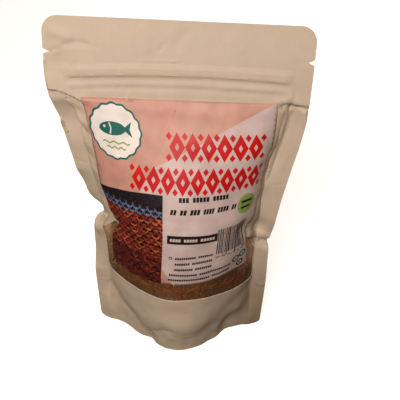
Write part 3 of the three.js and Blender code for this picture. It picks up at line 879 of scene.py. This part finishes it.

# %% [markdown]
# ## The window film
# The window is a hole in the paper, closed from inside by clear cast polypropylene film, a little larger
# than the hole. It is glossy, the contents press it into faint dents, and their brown dust clings to it.
# Where the heap has sunk at the sides, the dust is paler, and on the right the film is painted paler still,
# as painted reflection. A plain alpha lets the lamps reach the food behind the film, which glass that bends
# light would block.

# %% Film material and sheet
def clear_film():
    material, tree = new_material("polypropylene_film_clear")
    place = add(tree, "ShaderNodeTexCoord").outputs["Object"]
    dents = add(tree, "ShaderNodeTexNoise", {"Vector": place, "Scale": per_mm(7), "Detail": 2.0})
    grease = add(tree, "ShaderNodeTexNoise", {"Vector": place, "Scale": per_mm(3), "Detail": 4.0})
    pushed = add(tree, "ShaderNodeBump", {
        "Height": dents.outputs["Fac"], "Strength": 0.5, "Distance": 0.6 * MM})
    rough = add(tree, "ShaderNodeMapRange", {"Value": grease.outputs["Fac"], "To Min": 0.08, "To Max": 0.34})
    # The pale colour is dust, and on the right a painted reflection.
    dust_and_sheen_share = add(tree, "ShaderNodeAttribute", attribute_name="tone")
    dust_and_sheen_colour = add(tree, "ShaderNodeMix", {
        "Factor": dust_and_sheen_share.outputs["Fac"], "A": colour("#6E4428"), "B": colour("#B8885A")}, data_type="RGBA")
    shader = add(tree, "ShaderNodeBsdfPrincipled", {
        "Base Color": dust_and_sheen_colour.outputs["Result"], "Roughness": rough.outputs["Result"], "IOR": 1.49,
        "Normal": pushed.outputs["Normal"], "Alpha": 0.5})
    add(tree, "ShaderNodeOutputMaterial", {"Surface": shader.outputs["BSDF"]})
    return material


FILM_STEP = 1.5
FILM_MARGIN = 2.0
FILM_DEPTH = 0.3


def pale_dust_and_sheen_on(flat):
    """From 0 to 1: pale dust in place of whole food, and on the right painted light on the film and bed."""
    left = 0.9 * smoothstep(-48, -53, flat[:, 0]) * smoothstep(56, 80, flat[:, 1])
    right = smoothstep(42, 47, flat[:, 0]) * smoothstep(57, 65, flat[:, 1])
    return left + right


film_flat, film_faces = cut_sheet(window_outline(FILM_MARGIN), FILM_STEP)
film_points = on_paper(FRONT, film_flat, -FILM_DEPTH)
film = make_piece("window_film", film_points, film_faces, [clear_film()], "window")
# The film's tone paints it paler: pale dust, and on the right a painted reflection.
with_tone(film, pale_dust_and_sheen_on(film_flat))
print("film:", len(film_faces), "triangles")

# %% [markdown]
# ## Dried crayfish
# Small crayfish, smoked and dried whole, are about 20 mm long, curled and brittle, with thin legs and
# feelers. What is finer than that is broken shell. Each animal is made of tapering tubes: a body with six
# ringed tail segments, legs, feelers and a fanned tail. Sculpting one and copying it would look more exact
# close up, but tubes let every animal curl in its own way.

# %% A tapering tube
def tube(path, radii, sides):
    """A closed tube along a path: points and faces."""
    path = np.asarray(path, float)
    tangent = np.gradient(path, axis=0)
    tangent /= np.linalg.norm(tangent, axis=1, keepdims=True)
    hint = np.array([0.0, 0.0, 1.0])
    side = np.cross(tangent, hint)
    side /= np.maximum(np.linalg.norm(side, axis=1, keepdims=True), 1e-6)
    up = np.cross(side, tangent)
    turn = np.linspace(0, 2 * np.pi, sides, endpoint=False)
    round_it = (np.cos(turn)[None, :, None] * side[:, None, :]
                + np.sin(turn)[None, :, None] * up[:, None, :])
    rings = path[:, None, :] + np.asarray(radii)[:, None, None] * round_it
    faces = []
    for r in range(len(path) - 1):
        for k in range(sides):
            n = (k + 1) % sides
            faces.append([r * sides + k, r * sides + n, (r + 1) * sides + n, (r + 1) * sides + k])
    faces.append(list(range(sides))[::-1])
    faces.append([(len(path) - 1) * sides + k for k in range(sides)])
    return rings.reshape(-1, 3), faces


leg = tube([(0, 0, 0), (2, 0, 0), (4, 1, 0)], [0.3, 0.2, 0.06], 3)
print("a leg has", len(leg[0]), "points and", len(leg[1]), "faces")

# %% The body of one crayfish
BODY_RINGS = 25


def body_path(rng):
    """The curled path of one body, and its radius along the path, with six rings in the tail."""
    length = rng.uniform(17, 27)
    curl = rng.uniform(1.6, 3.9)
    share = np.linspace(0, 1, BODY_RINGS)
    heading = curl * np.clip(share - 0.25, 0, 1) ** 1.2
    step = length / (BODY_RINGS - 1)
    path = np.zeros((BODY_RINGS, 3))
    path[1:, 0] = np.cumsum(np.cos(heading[1:])) * step
    path[1:, 1] = np.cumsum(np.sin(heading[1:])) * step
    path[:, 2] = 0.5 * np.sin(share * rng.uniform(2, 5))
    girth = rng.uniform(1.25, 1.75)
    body = np.interp(share, [0, 0.05, 0.16, 0.36, 0.42, 0.6, 0.85, 1],
                     [0.15, 0.45, 0.95, 1.05, 0.9, 0.85, 0.45, 0.3])
    tail_rings = np.where(share > 0.4, 0.16 * ((share * 10) % 1.0), 0)
    return path, girth * (body + tail_rings * body)


example_path, example_radii = body_path(np.random.default_rng(1))
print("a body is up to", round(2 * float(example_radii.max()), 1), "mm thick")

# %% What grows from the body: legs, feelers and the fan of the tail
def legs(path, rng):
    for number in range(8):
        root = path[5 + number // 2]
        hand = 1 if number % 2 else -1
        swing, reach = rng.uniform(-0.9, 0.6), rng.uniform(4, 7.5)
        bend = []
        for t in (0.1, 0.5, 1.0):
            aim = np.array([0.5 * swing - 0.3 * t, -hand * (0.4 + 0.5 * t), 0.1 - 0.25 * t])
            bend.append(root + reach * t * aim)
        yield tube(bend, [0.3, 0.2, 0.06], 3), rng.uniform(0.4, 1.0)


def feelers(path, rng):
    for hand in (-1, 1):
        sweep = rng.uniform(-0.06, 0.1) * hand
        bend = [path[0] + np.array([-1.9 * t, hand * 0.4 + hand * 0.5 * t + sweep * t * t, 0.1 * t])
                for t in range(8)]
        yield tube(bend, np.linspace(0.2, 0.06, 8), 3), rng.uniform(0.5, 1.0)


def tail_fan(path, rng):
    tip, along = path[-1], path[-1] - path[-2]
    along = along / np.linalg.norm(along)
    beside = np.array([-along[1], along[0], 0])
    for spread_out in (-0.8, -0.35, 0.35, 0.8):
        blade = [tip + t * (along + spread_out * beside) for t in (0.0, 1.4, 2.8)]
        yield tube(blade, [0.25, 0.6, 0.15], 4), rng.uniform(0.5, 1.0)


for growth in (legs, feelers, tail_fan):
    print(growth.__name__ + ":", len(list(growth(example_path, np.random.default_rng(1)))), "tubes")

# %% One crayfish
def joined(parts, tones):
    """Many parts as one list of points and one of faces, with each part's tone on its points."""
    points, faces, tone, start = [], [], [], 0
    for (part_points, part_faces), part_tone in zip(parts, tones):
        points.append(part_points)
        faces += [[start + i for i in face] for face in part_faces]
        tone += [part_tone] * len(part_points)
        start += len(part_points)
    return np.concatenate(points), faces, np.array(tone)


def one_crayfish(rng):
    """Points, faces and tones from 0 to 1 for one animal, lying flat from the origin on."""
    path, radii = body_path(rng)
    parts = [(tube(path, radii, 7), rng.uniform(0.25, 0.95))]
    parts += [*legs(path, rng), *feelers(path, rng), *tail_fan(path, rng)]
    return joined(*zip(*parts))


print("one animal has", len(one_crayfish(np.random.default_rng(1))[0]), "points")

# %% One crumb
def one_crumb(rng):
    size = rng.uniform(0.5, 1.5)
    bend = rng.uniform(-0.5, 0.5)
    path = [(-size, 0, 0), (0, bend, 0.15), (size * rng.uniform(0.6, 1.2), 0, 0)]
    points, faces = tube(path, [0.15 * size, 0.45 * size, 0.12 * size], 4)
    return points, faces, np.full(len(points), rng.uniform(0.5, 1.0))


print("one crumb has", len(one_crumb(np.random.default_rng(1))[0]), "points")

# %% [markdown]
# ## Room behind the film
# Loose food fills the space between the film and the back sheet. Each thing is placed on the flat pattern
# as across, height and depth, and then laid into the bag. So nothing can poke through the film, and where
# the bag is thin, beside the seals, the depth is limited by the back sheet.

# %% Lay things behind the film
LEAST_DEPTH = 0.25
REACH_INTO_PAPER = 1.4
CONTENTS_LOW, CONTENTS_HIGH = 45.0, 98.0
ROOM_USED = 0.85


def window_half(height):
    """Half the window's width at a height, with the slanted corner at its top."""
    return WINDOW_HALF - np.maximum(0, height - (WINDOW_TOP - WINDOW_CHAMFER))


def room_behind(flat):
    """How deep under the front's surface a thing can lie and still be inside the bag."""
    gap = on_paper(BACK, flat)[:, 1] - on_paper(FRONT, flat)[:, 1]
    return ROOM_USED * gap - PAPER_THICKNESS


def in_window(points):
    """Lays points given as across, height and depth behind the film into the bag."""
    wide = window_half(points[:, 1]) + REACH_INTO_PAPER
    across = np.clip(points[:, 0], -wide, wide)
    height = np.clip(points[:, 1], CONTENTS_LOW, CONTENTS_HIGH)
    flat = np.stack([across, height], axis=1)
    depth = FILM_DEPTH + LEAST_DEPTH + np.maximum(0, points[:, 2])
    return on_paper(FRONT, flat, -np.minimum(depth, room_behind(flat)))


middle_room = float(room_behind(np.array([[0.0, 70.0]]))[0])
print("room behind the middle of the window:", round(middle_room, 1), "mm")

# %% [markdown]
# ## Dried crayfish shell
# Shell is chitin and lime. Smoking and drying leave it dull red-brown to golden, burnt darker in blotches,
# and finely wrinkled, which gives the eye a rough half gloss. Every animal and crumb has its own tone, so
# that the heap looks mixed. Crumbs are the thin pale inside of the shell, and the bed is what lies in shade,
# so its dark colours are painted shade.

# %% Shell material
def dried_shell(name, dark, body, golden):
    material, tree = new_material(name)
    place = add(tree, "ShaderNodeTexCoord").outputs["Object"]
    tone = add(tree, "ShaderNodeAttribute", attribute_name="tone")
    blotch = add(tree, "ShaderNodeTexNoise", {"Vector": place, "Scale": per_mm(2.2), "Detail": 4.0})
    wrinkle = add(tree, "ShaderNodeTexNoise", {"Vector": place, "Scale": per_mm(0.7), "Detail": 3.0})
    shell = add(tree, "ShaderNodeMix", {
        "Factor": tone.outputs["Fac"], "A": colour(body), "B": colour(golden)}, data_type="RGBA")
    burnt = add(tree, "ShaderNodeMapRange", {
        "Value": blotch.outputs["Fac"], "From Min": 0.42, "From Max": 0.7, "To Min": 0.0, "To Max": 0.85})
    darker = add(tree, "ShaderNodeMath", {0: tone.outputs["Fac"], 1: -0.8, 2: 1.0}, operation="MULTIPLY_ADD")
    spots = add(tree, "ShaderNodeMath", {
        0: burnt.outputs["Result"], 1: darker.outputs["Value"]}, operation="MULTIPLY", use_clamp=True)
    mixed = add(tree, "ShaderNodeMix", {
        "Factor": spots.outputs["Value"], "A": shell.outputs["Result"], "B": colour(dark)}, data_type="RGBA")
    relief = add(tree, "ShaderNodeBump", {
        "Height": wrinkle.outputs["Fac"], "Strength": 0.5, "Distance": 0.12 * MM})
    rough = add(tree, "ShaderNodeMapRange", {"Value": blotch.outputs["Fac"], "To Min": 0.38, "To Max": 0.7})
    shader = add(tree, "ShaderNodeBsdfPrincipled", {
        "Base Color": mixed.outputs["Result"], "Roughness": rough.outputs["Result"],
        "Normal": relief.outputs["Normal"], "IOR": 1.5})
    add(tree, "ShaderNodeOutputMaterial", {"Surface": shader.outputs["BSDF"]})
    return material


shell_material = dried_shell("crayfish_shell_smoked", "#34190F", "#6E3820", "#AD6A30")
crumb_material = dried_shell("crayfish_crumbs", "#7A5230", "#B07A42", "#DCAE6C")
# The bed's near-black colours are painted shade for the food deep behind the heap.
bed_material = dried_shell("crayfish_bed", "#1A0E08", "#38200F", "#E8C595")
print("made", shell_material.name + ",", crumb_material.name, "and", bed_material.name)

# %% [markdown]
# ## Filling the window
# The animals lie every way in a layer about 6 mm deep. The first ones placed lie deepest. The heap has sunk
# at the sides, most of all on the right, and golden crumbs gather there. A particle system could scatter
# them too, but a loop with a fixed seed gives real mesh.

# %% Where things lie, and how they are turned
CRAYFISH_COUNT = 210
CRUMB_COUNT = 900
BED_DEPTH = 6.5
TOP_LAYER = 1.5


def turned(points, spin, tilt, roll):
    turn = Matrix.Rotation(spin, 3, "Z") @ Matrix.Rotation(tilt, 3, "Y") @ Matrix.Rotation(roll, 3, "X")
    return points @ np.array(turn).T


def animals_reach(across, height):
    return across > -50 and (across < 42 or height < 58)


def crumbs_reach(across, height):
    return across < 45 or height < 60 or (across > 57.8 and height > 70)


def painted_shade_low_right(across, height):
    """Low on the right the shells are darkened, as painted shade."""
    return 1 - 0.6 * smoothstep(20, 42, across) * (height < 62)


print("low on the right, shells keep", round(float(painted_shade_low_right(50, 50)), 2), "of their golden tone")

# %% Scatter the crayfish and crumbs
def scatter(count, seed, make, wanted, gathered=1.0):
    """Many turned copies in the window. A gathered value below 1 sends more of them to the sides."""
    rng = np.random.default_rng(seed)
    parts, tones = [], []
    for i in range(count):
        points, faces, tone = make(rng)
        middle = points.mean(axis=0)
        spin, tilt, roll = rng.uniform(0, 2 * np.pi), rng.normal(0, 0.18), rng.normal(0, 0.35)
        points = turned(points - middle, spin, tilt, roll)
        height = rng.uniform(47, 96)
        sideways = math.copysign(rng.uniform(0, 1) ** gathered, rng.uniform(-1, 1))
        across = sideways * float(window_half(height))
        depth = TOP_LAYER + (BED_DEPTH - TOP_LAYER) * (1 - i / count) * rng.uniform(0.5, 1)
        if wanted(across, height):
            parts.append((points + [across, height, depth], faces))
            # Low on the right the tones are darkened: painted shade.
            tones.append(tone * painted_shade_low_right(across, height))
    points, faces, _ = joined(parts, [0] * len(parts))
    return in_window(points), faces, np.concatenate(tones)


animal_points, animal_faces, animal_tone = scatter(CRAYFISH_COUNT, 11, one_crayfish, animals_reach)
animals = make_piece("dried_crayfish", animal_points, animal_faces, [shell_material], "crayfish")
with_tone(animals, animal_tone)
crumb_points, crumb_faces, crumb_tone = scatter(CRUMB_COUNT, 12, one_crumb, crumbs_reach, gathered=0.35)
crumbs = make_piece("crayfish_crumbs", crumb_points, crumb_faces, [crumb_material], "crayfish")
with_tone(crumbs, crumb_tone)
print("shell faces:", len(animal_faces), "on the crayfish and", len(crumb_faces), "on the crumbs")

# %% [markdown]
# ## The bed under the heap
# Behind the loose food lies more of it, out of sight. A thin lumpy sheet stands for it, so that nobody
# sees through the gaps to the back of the bag. At its edge it rises to just behind the paper, and where
# only pale dust is left it comes close to the film and is pale; on the right that paleness is painted light.

# %% Bed
BED_STEP = 1.6
BED_THICKNESS = 0.1
BED_EDGE_DEPTH = 0.2
bed_edge = window_outline(REACH_INTO_PAPER)
bed_flat, bed_faces = cut_sheet(bed_edge, BED_STEP)
bed_across, bed_height = bed_flat[:, 0], bed_flat[:, 1]
rise_to_edge = smoothstep(0, 5, distance_to(bed_flat, bed_edge))
lumps = 0.9 * np.sin(bed_across * 0.8 + 1.3 * np.sin(bed_height * 0.5)) * np.sin(bed_height * 0.9)
pale_dust_and_sheen = pale_dust_and_sheen_on(bed_flat)
behind = FILM_DEPTH + BED_EDGE_DEPTH + (BED_DEPTH - 0.6 + lumps) * rise_to_edge * (1 - 0.9 * pale_dust_and_sheen)
behind = np.minimum(behind, room_behind(bed_flat) - BED_THICKNESS)
bed = make_piece("crayfish_bed", on_paper(FRONT, bed_flat, -behind), bed_faces, [bed_material],
                 "crayfish")
# Where the tone is high the bed is pale: pale dust, and on the right painted light.
with_tone(bed, 0.1 + 0.9 * pale_dust_and_sheen + 0.1 * np.sin(bed_across * 1.7) * np.cos(bed_height * 1.3))
thicken(bed, BED_THICKNESS)
print("bed:", len(bed_faces), "triangles")

# %% [markdown]
# ## The printed label
# The label is coated paper, printed and then pasted on, half over the paper and half over the film. Its
# print is plain fields of colour and simple shapes, cut into the sheet as separate areas of ink, so
# that every edge is crisp. An image on the sheet would be the usual way, and this needs none. Rows of
# blocks stand where a maker would set words, bands of lozenges where a headline would be, a fish badge
# where a mark would be, and fish scales under waves where a picture would be.

# %% Simple shapes for the print
def block(x0, z0, x1, z1, slant=0.0):
    lean = slant * (z1 - z0)
    return [(x0, z0), (x1, z0), (x1 + lean, z1), (x0 + lean, z1)]


def disc(x, z, rx, rz, points, scallops=0, wave=0.0):
    """A circle or an ellipse, or with four points a lozenge. Its edge may be scalloped."""
    shape = []
    for i in range(points):
        a = 2 * math.pi * i / points
        r = 1 + wave * math.cos(scallops * a)
        shape.append((x + rx * r * math.cos(a), z + rz * r * math.sin(a)))
    return shape


print_rng = np.random.default_rng(5)


def word_row(x0, x1, z, tall, ink, slant, words, dash):
    """A row of short equal dashes, in groups as long as words are. They stand for no letters."""
    shares = print_rng.uniform(0.6, 1.4, words)
    room = (x1 - x0 - (words - 1) * dash) * shares / shares.sum()
    shapes, x = [], x0
    for width in room:
        count = max(1, round(width / dash))
        pitch = width / count
        for i in range(count):
            left = x + i * pitch
            shapes.append((ink, block(left + 0.04 * pitch, z, left + 0.84 * pitch, z + 0.8 * tall, slant)))
        x += width + dash
    return shapes


print("a lozenge has its corners at", [(round(x, 1), round(z, 1)) for x, z in disc(0, 0, 2, 3, 4)])

# %% Fields and headline
fields = [
    ("tone", [(1, LABEL_HIGH), (LABEL_RIGHT, LABEL_HIGH), (-15.5, 139), (-8, 153)]),
    ("pale", [(LABEL_RIGHT, 174.3), (-15.5, 139), (-26, 118), (-20, LABEL_LOW),
              (LABEL_RIGHT, LABEL_LOW)]),
    ("tone", [(-9, 78), (-9, LABEL_LOW), (0, LABEL_LOW)]),
]


def field_at(x, z):
    """The ink of the field that a point lies on. The label is pink where there is none."""
    found = [ink for ink, shape in fields if inside(np.array([[x, z]]), np.array(shape))[0]]
    return found[-1] if found else "pink"


def lozenge_band(x0, x1, z0, z1, count, ink):
    """A band of tall lozenges with an eye in each, and small ones in the gaps above and below."""
    pitch, tall = (x1 - x0) / count, z1 - z0
    shapes = []
    for i in range(count):
        x, z = x0 + (i + 0.5) * pitch, (z0 + z1) / 2
        shapes.append((ink, disc(x, z, 0.5 * pitch, 0.5 * tall, 4)))
        shapes.append((field_at(x, z), disc(x, z, 0.14 * pitch, 0.14 * tall, 4)))
    for i in range(count + 1):
        for z in (z0 + 0.14 * tall, z1 - 0.14 * tall):
            shapes.append((ink, disc(x0 + i * pitch, z, 0.2 * pitch, 0.14 * tall, 4)))
    return shapes


areas = list(fields)
areas += lozenge_band(-6.5, 46, 143.4, 158, 6, "red")
areas += lozenge_band(-27, 47.5, 125.8, 140.6, 9, "red")
print(len(areas), "areas of ink so far")

# %% Badge: a scalloped disc with a fish over two waves
BADGE_X, BADGE_Z = -36.3, 156.0
BADGE_RADIUS = 15.0
BADGE_RIM = 1.1


def on_badge(*offsets):
    return [(BADGE_X + dx, BADGE_Z + dz) for dx, dz in offsets]


inner_radius = BADGE_RADIUS - BADGE_RIM
areas += [
    ("teal", disc(BADGE_X, BADGE_Z, BADGE_RADIUS, BADGE_RADIUS, 96, 16, 0.025)),
    ("white", disc(BADGE_X, BADGE_Z, inner_radius, inner_radius, 96, 16, 0.025)),
    ("teal", disc(BADGE_X - 1.5, BADGE_Z + 1.5, 7.4, 3.6, 32)),
    ("teal", on_badge((4.2, 1.5), (9.6, 5.6), (8.2, 1.5), (9.6, -2.6))),
    ("white", disc(BADGE_X - 5.9, BADGE_Z + 2.4, 0.7, 0.7, 10)),
    ("white", on_badge((-3.4, 4.2), (-2.7, 4.4), (-2.0, 1.6), (-2.7, -1.4), (-3.4, -1.2), (-2.6, 1.6))),
]
for drop, reach in ((-5.4, 8.0), (-8.2, 5.6)):
    crest = on_badge(*[(-reach + i * reach / 6, drop + 0.6 * math.sin(i * 1.57)) for i in range(13)])
    areas.append(("green", crest + [(x, z - 0.9) for x, z in reversed(crest)]))
print(len(areas), "areas with the badge")

# %% Picture field: fish scales, darker at the foot, under two rows of blue waves and a dark sky
PICTURE_RIGHT = -9.0
SCALE_WIDTH, SCALE_RISE = 4.6, 2.3
SCALES_IN_ROW = 11
DARK_ROWS, SCALE_ROWS, WAVE_ROWS = 11, 23, 2
picture_top = [(PICTURE_RIGHT, 125.5), (-18, 125.3), (-29, 124.2), (-40, 122.8), (LABEL_LEFT, 121)]
areas.append(("slate", [(LABEL_LEFT, LABEL_LOW), (PICTURE_RIGHT, LABEL_LOW), *picture_top]))


def scale_row(row, rims, bodies):
    """One row of round scales. The next row up covers the upper half of these."""
    z = LABEL_LOW - 1 + row * SCALE_RISE
    shapes = []
    radius = 0.5 * SCALE_WIDTH
    for column in range(SCALES_IN_ROW):
        x = LABEL_LEFT + (column + 0.5 * (row % 2)) * SCALE_WIDTH
        shapes += [
            (print_rng.choice(rims), disc(x, z, radius, radius, 14)),
            (print_rng.choice(bodies), disc(x, z + 0.5, 0.84 * radius, 0.84 * radius, 14)),
            (print_rng.choice(rims), disc(x, z - 0.45 * radius, 0.42 * radius, 0.14 * radius, 8)),
        ]
    return [(ink, [(min(px, PICTURE_RIGHT), pz) for px, pz in shape]) for ink, shape in shapes
            if min(px for px, _ in shape) < PICTURE_RIGHT]


for row in range(DARK_ROWS):
    areas += scale_row(row, ["rust", "maroon", "maroon"], ["maroon", "charcoal"])
for row in range(DARK_ROWS, SCALE_ROWS):
    areas += scale_row(row, ["rust", "rust", "ember"], ["maroon", "maroon", "charcoal"])
for row in range(SCALE_ROWS, SCALE_ROWS + WAVE_ROWS):
    areas += scale_row(row, ["cloth"], ["slate"])
print(len(areas), "areas with the picture")

# %% Rows of dashes under the headline, a green spot with two bars, and a dark plate
areas += word_row(0, 28.5, 122.4, 3.5, "black", 0.0, 3, 1.9)
areas += word_row(-5, 33.5, 115.0, 3.9, "black", 0.2, 6, 1.8)
areas += [
    ("green", disc(41, 116, 6.3, 6.6, 32)),
    ("black", block(37.2, 116.8, 44.8, 118.6, 0.1)),
    ("black", block(37.4, 113.2, 44.2, 114.6, 0.1)),
    ("black", block(-6.5, 97.0, 22.5, 102.5)),
]
areas += word_row(-5, 21, 98.7, 2.2, "pale", 0.0, 3, 1.6)
print(len(areas), "areas with the plate")

# %% Stripes of random widths, which stand for no code, and the small print and ring marks below
STRIPES_LEFT, STRIPES_RIGHT = 22.8, 43.0
STRIPES_TOP, STRIPES_FOOT, LONG_STRIPE_FOOT = 104.2, 86.6, 84.6
LONG_STRIPE_SHARE = 0.3
x = STRIPES_LEFT
while x < STRIPES_RIGHT:
    width = print_rng.choice([0.4, 0.7, 1.0])
    foot = LONG_STRIPE_FOOT if print_rng.random() < LONG_STRIPE_SHARE else STRIPES_FOOT
    areas.append(("black", block(x, foot, x + width, STRIPES_TOP)))
    x += width + print_rng.choice([0.35, 0.45, 0.6])
areas += word_row(23, 43, 83.6, 1.0, "black", 0.0, 6, 1.1)

for z in (86.0, 81.8, 77.6):
    areas += word_row(-1.5, 21, z, 2.0, "black", 0.1, 2, 1.25)
areas += word_row(-4.5, 35, 73.2, 2.0, "black", 0.1, 2, 1.3)
areas += word_row(-5, 35, 69.0, 2.1, "black", 0.1, 2, 1.35)


def rings(x, z, radii_and_points, ink):
    """Discs of ink and of the pale field by turns, each smaller than the one before."""
    inks = [ink, "pale", ink]
    return [(ring_ink, disc(x, z, radius, radius, points))
            for ring_ink, (radius, points) in zip(inks, radii_and_points)]


areas += rings(-4, 86.9, [(1.1, 12), (0.6, 12)], "black")
for x, z, ink in ((38.5, 76.6, "teal"), (43.8, 78.8, "teal"), (43.2, 71.0, "black")):
    areas += rings(x, z, [(2.9, 20), (1.7, 16), (0.7, 10)], ink)
print(len(areas), "areas of ink in all")

# %% [markdown]
# ## Inks on coated paper
# Offset ink on coated paper is smooth and half glossy. The eye gets flat colour with a faint unevenness
# and a soft sheen. The inks of the picture field carry a fine strong mottle, about 1.4 mm across, as a
# printed texture has. Each area of ink is a material, and a face takes the last area drawn over it.

# %% Ink materials
INK_COLOURS = {
    "pink": "#B98676", "pale": "#C0A8A2", "tone": "#BC8A79", "red": "#B81012", "black": "#1C1614",
    "white": "#DCCFC8", "teal": "#14594F", "green": "#83984A", "slate": "#1E1417", "cloth": "#56607A",
    "maroon": "#501913", "rust": "#762B1E", "ember": "#A25030", "charcoal": "#220D0A",
}
PICTURE_INKS = {"slate", "cloth", "maroon", "rust", "ember", "charcoal"}


def printed_ink(name):
    size, strength = (1.4, 0.75) if name in PICTURE_INKS else (9, 0.12)
    material, tree = new_material("offset_ink_" + name)
    place = add(tree, "ShaderNodeTexCoord").outputs["Object"]
    mottle = add(tree, "ShaderNodeTexNoise", {"Vector": place, "Scale": per_mm(size), "Detail": 4.0})
    unevenness = add(tree, "ShaderNodeMapRange", {
        "Value": mottle.outputs["Fac"], "From Min": 0.3, "From Max": 0.7,
        "To Min": 1 - strength, "To Max": 1 + strength})
    tinted = add(tree, "ShaderNodeVectorMath", {
        0: colour(INK_COLOURS[name])[:3], "Scale": unevenness.outputs["Result"]}, operation="SCALE")
    rough = add(tree, "ShaderNodeMapRange", {"Value": mottle.outputs["Fac"], "To Min": 0.4, "To Max": 0.55})
    shader = add(tree, "ShaderNodeBsdfPrincipled", {
        "Base Color": tinted.outputs["Vector"], "Roughness": rough.outputs["Result"], "IOR": 1.45,
        "Specular IOR Level": 0.3})
    add(tree, "ShaderNodeOutputMaterial", {"Surface": shader.outputs["BSDF"]})
    return material


inks = [printed_ink(name) for name in INK_COLOURS]
print("made", len(inks), "inks")

# %% Label
LABEL_THICKNESS = 0.1
LABEL_LIFT = 0.12
label_low, label_high = label_outline.min(axis=0), label_outline.max(axis=0)
within = [(ink, np.clip(resampled(shape, PRINT_STEP), label_low, label_high)) for ink, shape in areas]
label_flat, label_faces = cut_sheet(label_outline, PRINT_STEP, marks=[shape for _, shape in within])
middles = label_flat[label_faces].mean(axis=1)
face_ink = np.zeros(len(label_faces), int)
for ink, shape in within:
    face_ink[inside(middles, shape)] = list(INK_COLOURS).index(ink)
label = make_piece("front_label", on_paper(FRONT, label_flat, LABEL_LIFT), label_faces, inks,
                   "label")
label.data.polygons.foreach_set("material_index", face_ink)
thicken(label, LABEL_THICKNESS)
print("label:", len(label_faces), "triangles in", len(inks), "inks")

# %% [markdown]
# ## Floor and light
# A plain pale floor and soft lamps, as in a small studio. The floor is matt wall paint on a board, so it
# gives no reflections, and it glows faintly to stay white. The key lamp hangs in front of the bag, above
# it and a little to the left, so that folds keep a lit side and a shaded side.

# %% Floor
FLOOR_HALF = 6.0


def plain_floor():
    material, tree = new_material("studio_floor_matt_paint")
    shader = add(tree, "ShaderNodeBsdfPrincipled", {
        "Base Color": colour("#F4F3F1"), "Roughness": 0.9, "Specular IOR Level": 0.1,
        "Emission Color": colour("#FFFFFF"), "Emission Strength": 0.5})
    add(tree, "ShaderNodeOutputMaterial", {"Surface": shader.outputs["BSDF"]})
    return material


floor_corners = [(x * FLOOR_HALF, y * FLOOR_HALF, 0) for x, y in ((-1, -1), (1, -1), (1, 1), (-1, 1))]
floor_mesh = bpy.data.meshes.new("studio_floor")
floor_mesh.from_pydata(floor_corners, [], [(0, 1, 2, 3)])
floor_mesh.materials.append(plain_floor())
floor = bpy.data.objects.new("studio_floor", floor_mesh)
bpy.context.scene.collection.objects.link(floor)
# Its glow lights nothing else.
floor.visible_diffuse = False
floor.visible_glossy = False
print("floor:", 2 * FLOOR_HALF, "m across")

# %% Lamps and surrounding light
def area_lamp(name, place, target, size, power, hex_code):
    data = bpy.data.lights.new(name, "AREA")
    data.shape = "DISK"
    data.size = size
    data.energy = power
    data.color = colour(hex_code)[:3]
    lamp = bpy.data.objects.new(name, data)
    lamp.location = place
    aim = Vector(target) - Vector(place)
    lamp.rotation_euler = aim.to_track_quat("-Z", "Y").to_euler()
    bpy.context.scene.collection.objects.link(lamp)


BAG_MIDDLE = (0, 0, 0.1)
LAMP_WHITE = "#FFFAF4"
area_lamp("key_lamp", (-0.12, -0.485, 0.46), BAG_MIDDLE, 0.24, 3.7, LAMP_WHITE)
area_lamp("back_lamp", (0.5, 1.1, 0.9), BAG_MIDDLE, 0.8, 9, LAMP_WHITE)

# The air is pale above and dim below, as over a table, so that the underside of each fold goes dark.
world = bpy.data.worlds.new("studio_air")
world.use_nodes = True
sky = world.node_tree
direction = add(sky, "ShaderNodeTexCoord").outputs["Generated"]
upward = add(sky, "ShaderNodeSeparateXYZ", {"Vector": direction}).outputs["Z"]
dome = add(sky, "ShaderNodeMapRange", {
    "Value": upward, "From Min": -0.25, "From Max": 0.35, "To Min": 0.06, "To Max": 0.28})
background = sky.nodes["Background"]
background.inputs["Color"].default_value = colour("#FFE8D0")
sky.links.new(dome.outputs["Result"], background.inputs["Strength"])
bpy.context.scene.world = world
bpy.context.scene.view_settings.view_transform = "Standard"
print("lamps and world are set")

# %% [markdown]
# ## Camera
# The camera looks down at the bag from the front, about 0.4 m away, as a person holds one over a table. It
# is turned a touch about its own axis. Its matrix is written out from those angles: the columns are its
# right, its up, its back and its place.

# %% Camera
CAMERA_PLACE = Vector((20.15, shift[1] - 291.85, 290.96)) * MM
LOOK_DOWN = math.radians(33.0)
YAW = math.radians(1.2412)
ROLL = math.radians(2.2232)
SENSOR_WIDTH = 36.0
FOCAL_LENGTH = 50.4
level_part = math.cos(LOOK_DOWN)
forward = Vector((-math.sin(YAW) * level_part, math.cos(YAW) * level_part, -math.sin(LOOK_DOWN)))
level = Vector((math.cos(YAW), math.sin(YAW), 0))
upright = level.cross(forward)
right = math.cos(ROLL) * level + math.sin(ROLL) * upright
up = math.cos(ROLL) * upright - math.sin(ROLL) * level
lens = bpy.data.cameras.new("camera")
lens.sensor_width = SENSOR_WIDTH
lens.lens = FOCAL_LENGTH
camera = bpy.data.objects.new("camera", lens)
camera.matrix_world = Matrix((
    (right.x, up.x, -forward.x, CAMERA_PLACE.x),
    (right.y, up.y, -forward.y, CAMERA_PLACE.y),
    (right.z, up.z, -forward.z, CAMERA_PLACE.z),
    (0, 0, 0, 1),
))
bpy.context.scene.collection.objects.link(camera)
bpy.context.scene.camera = camera
print("camera at", [round(v, 3) for v in CAMERA_PLACE])
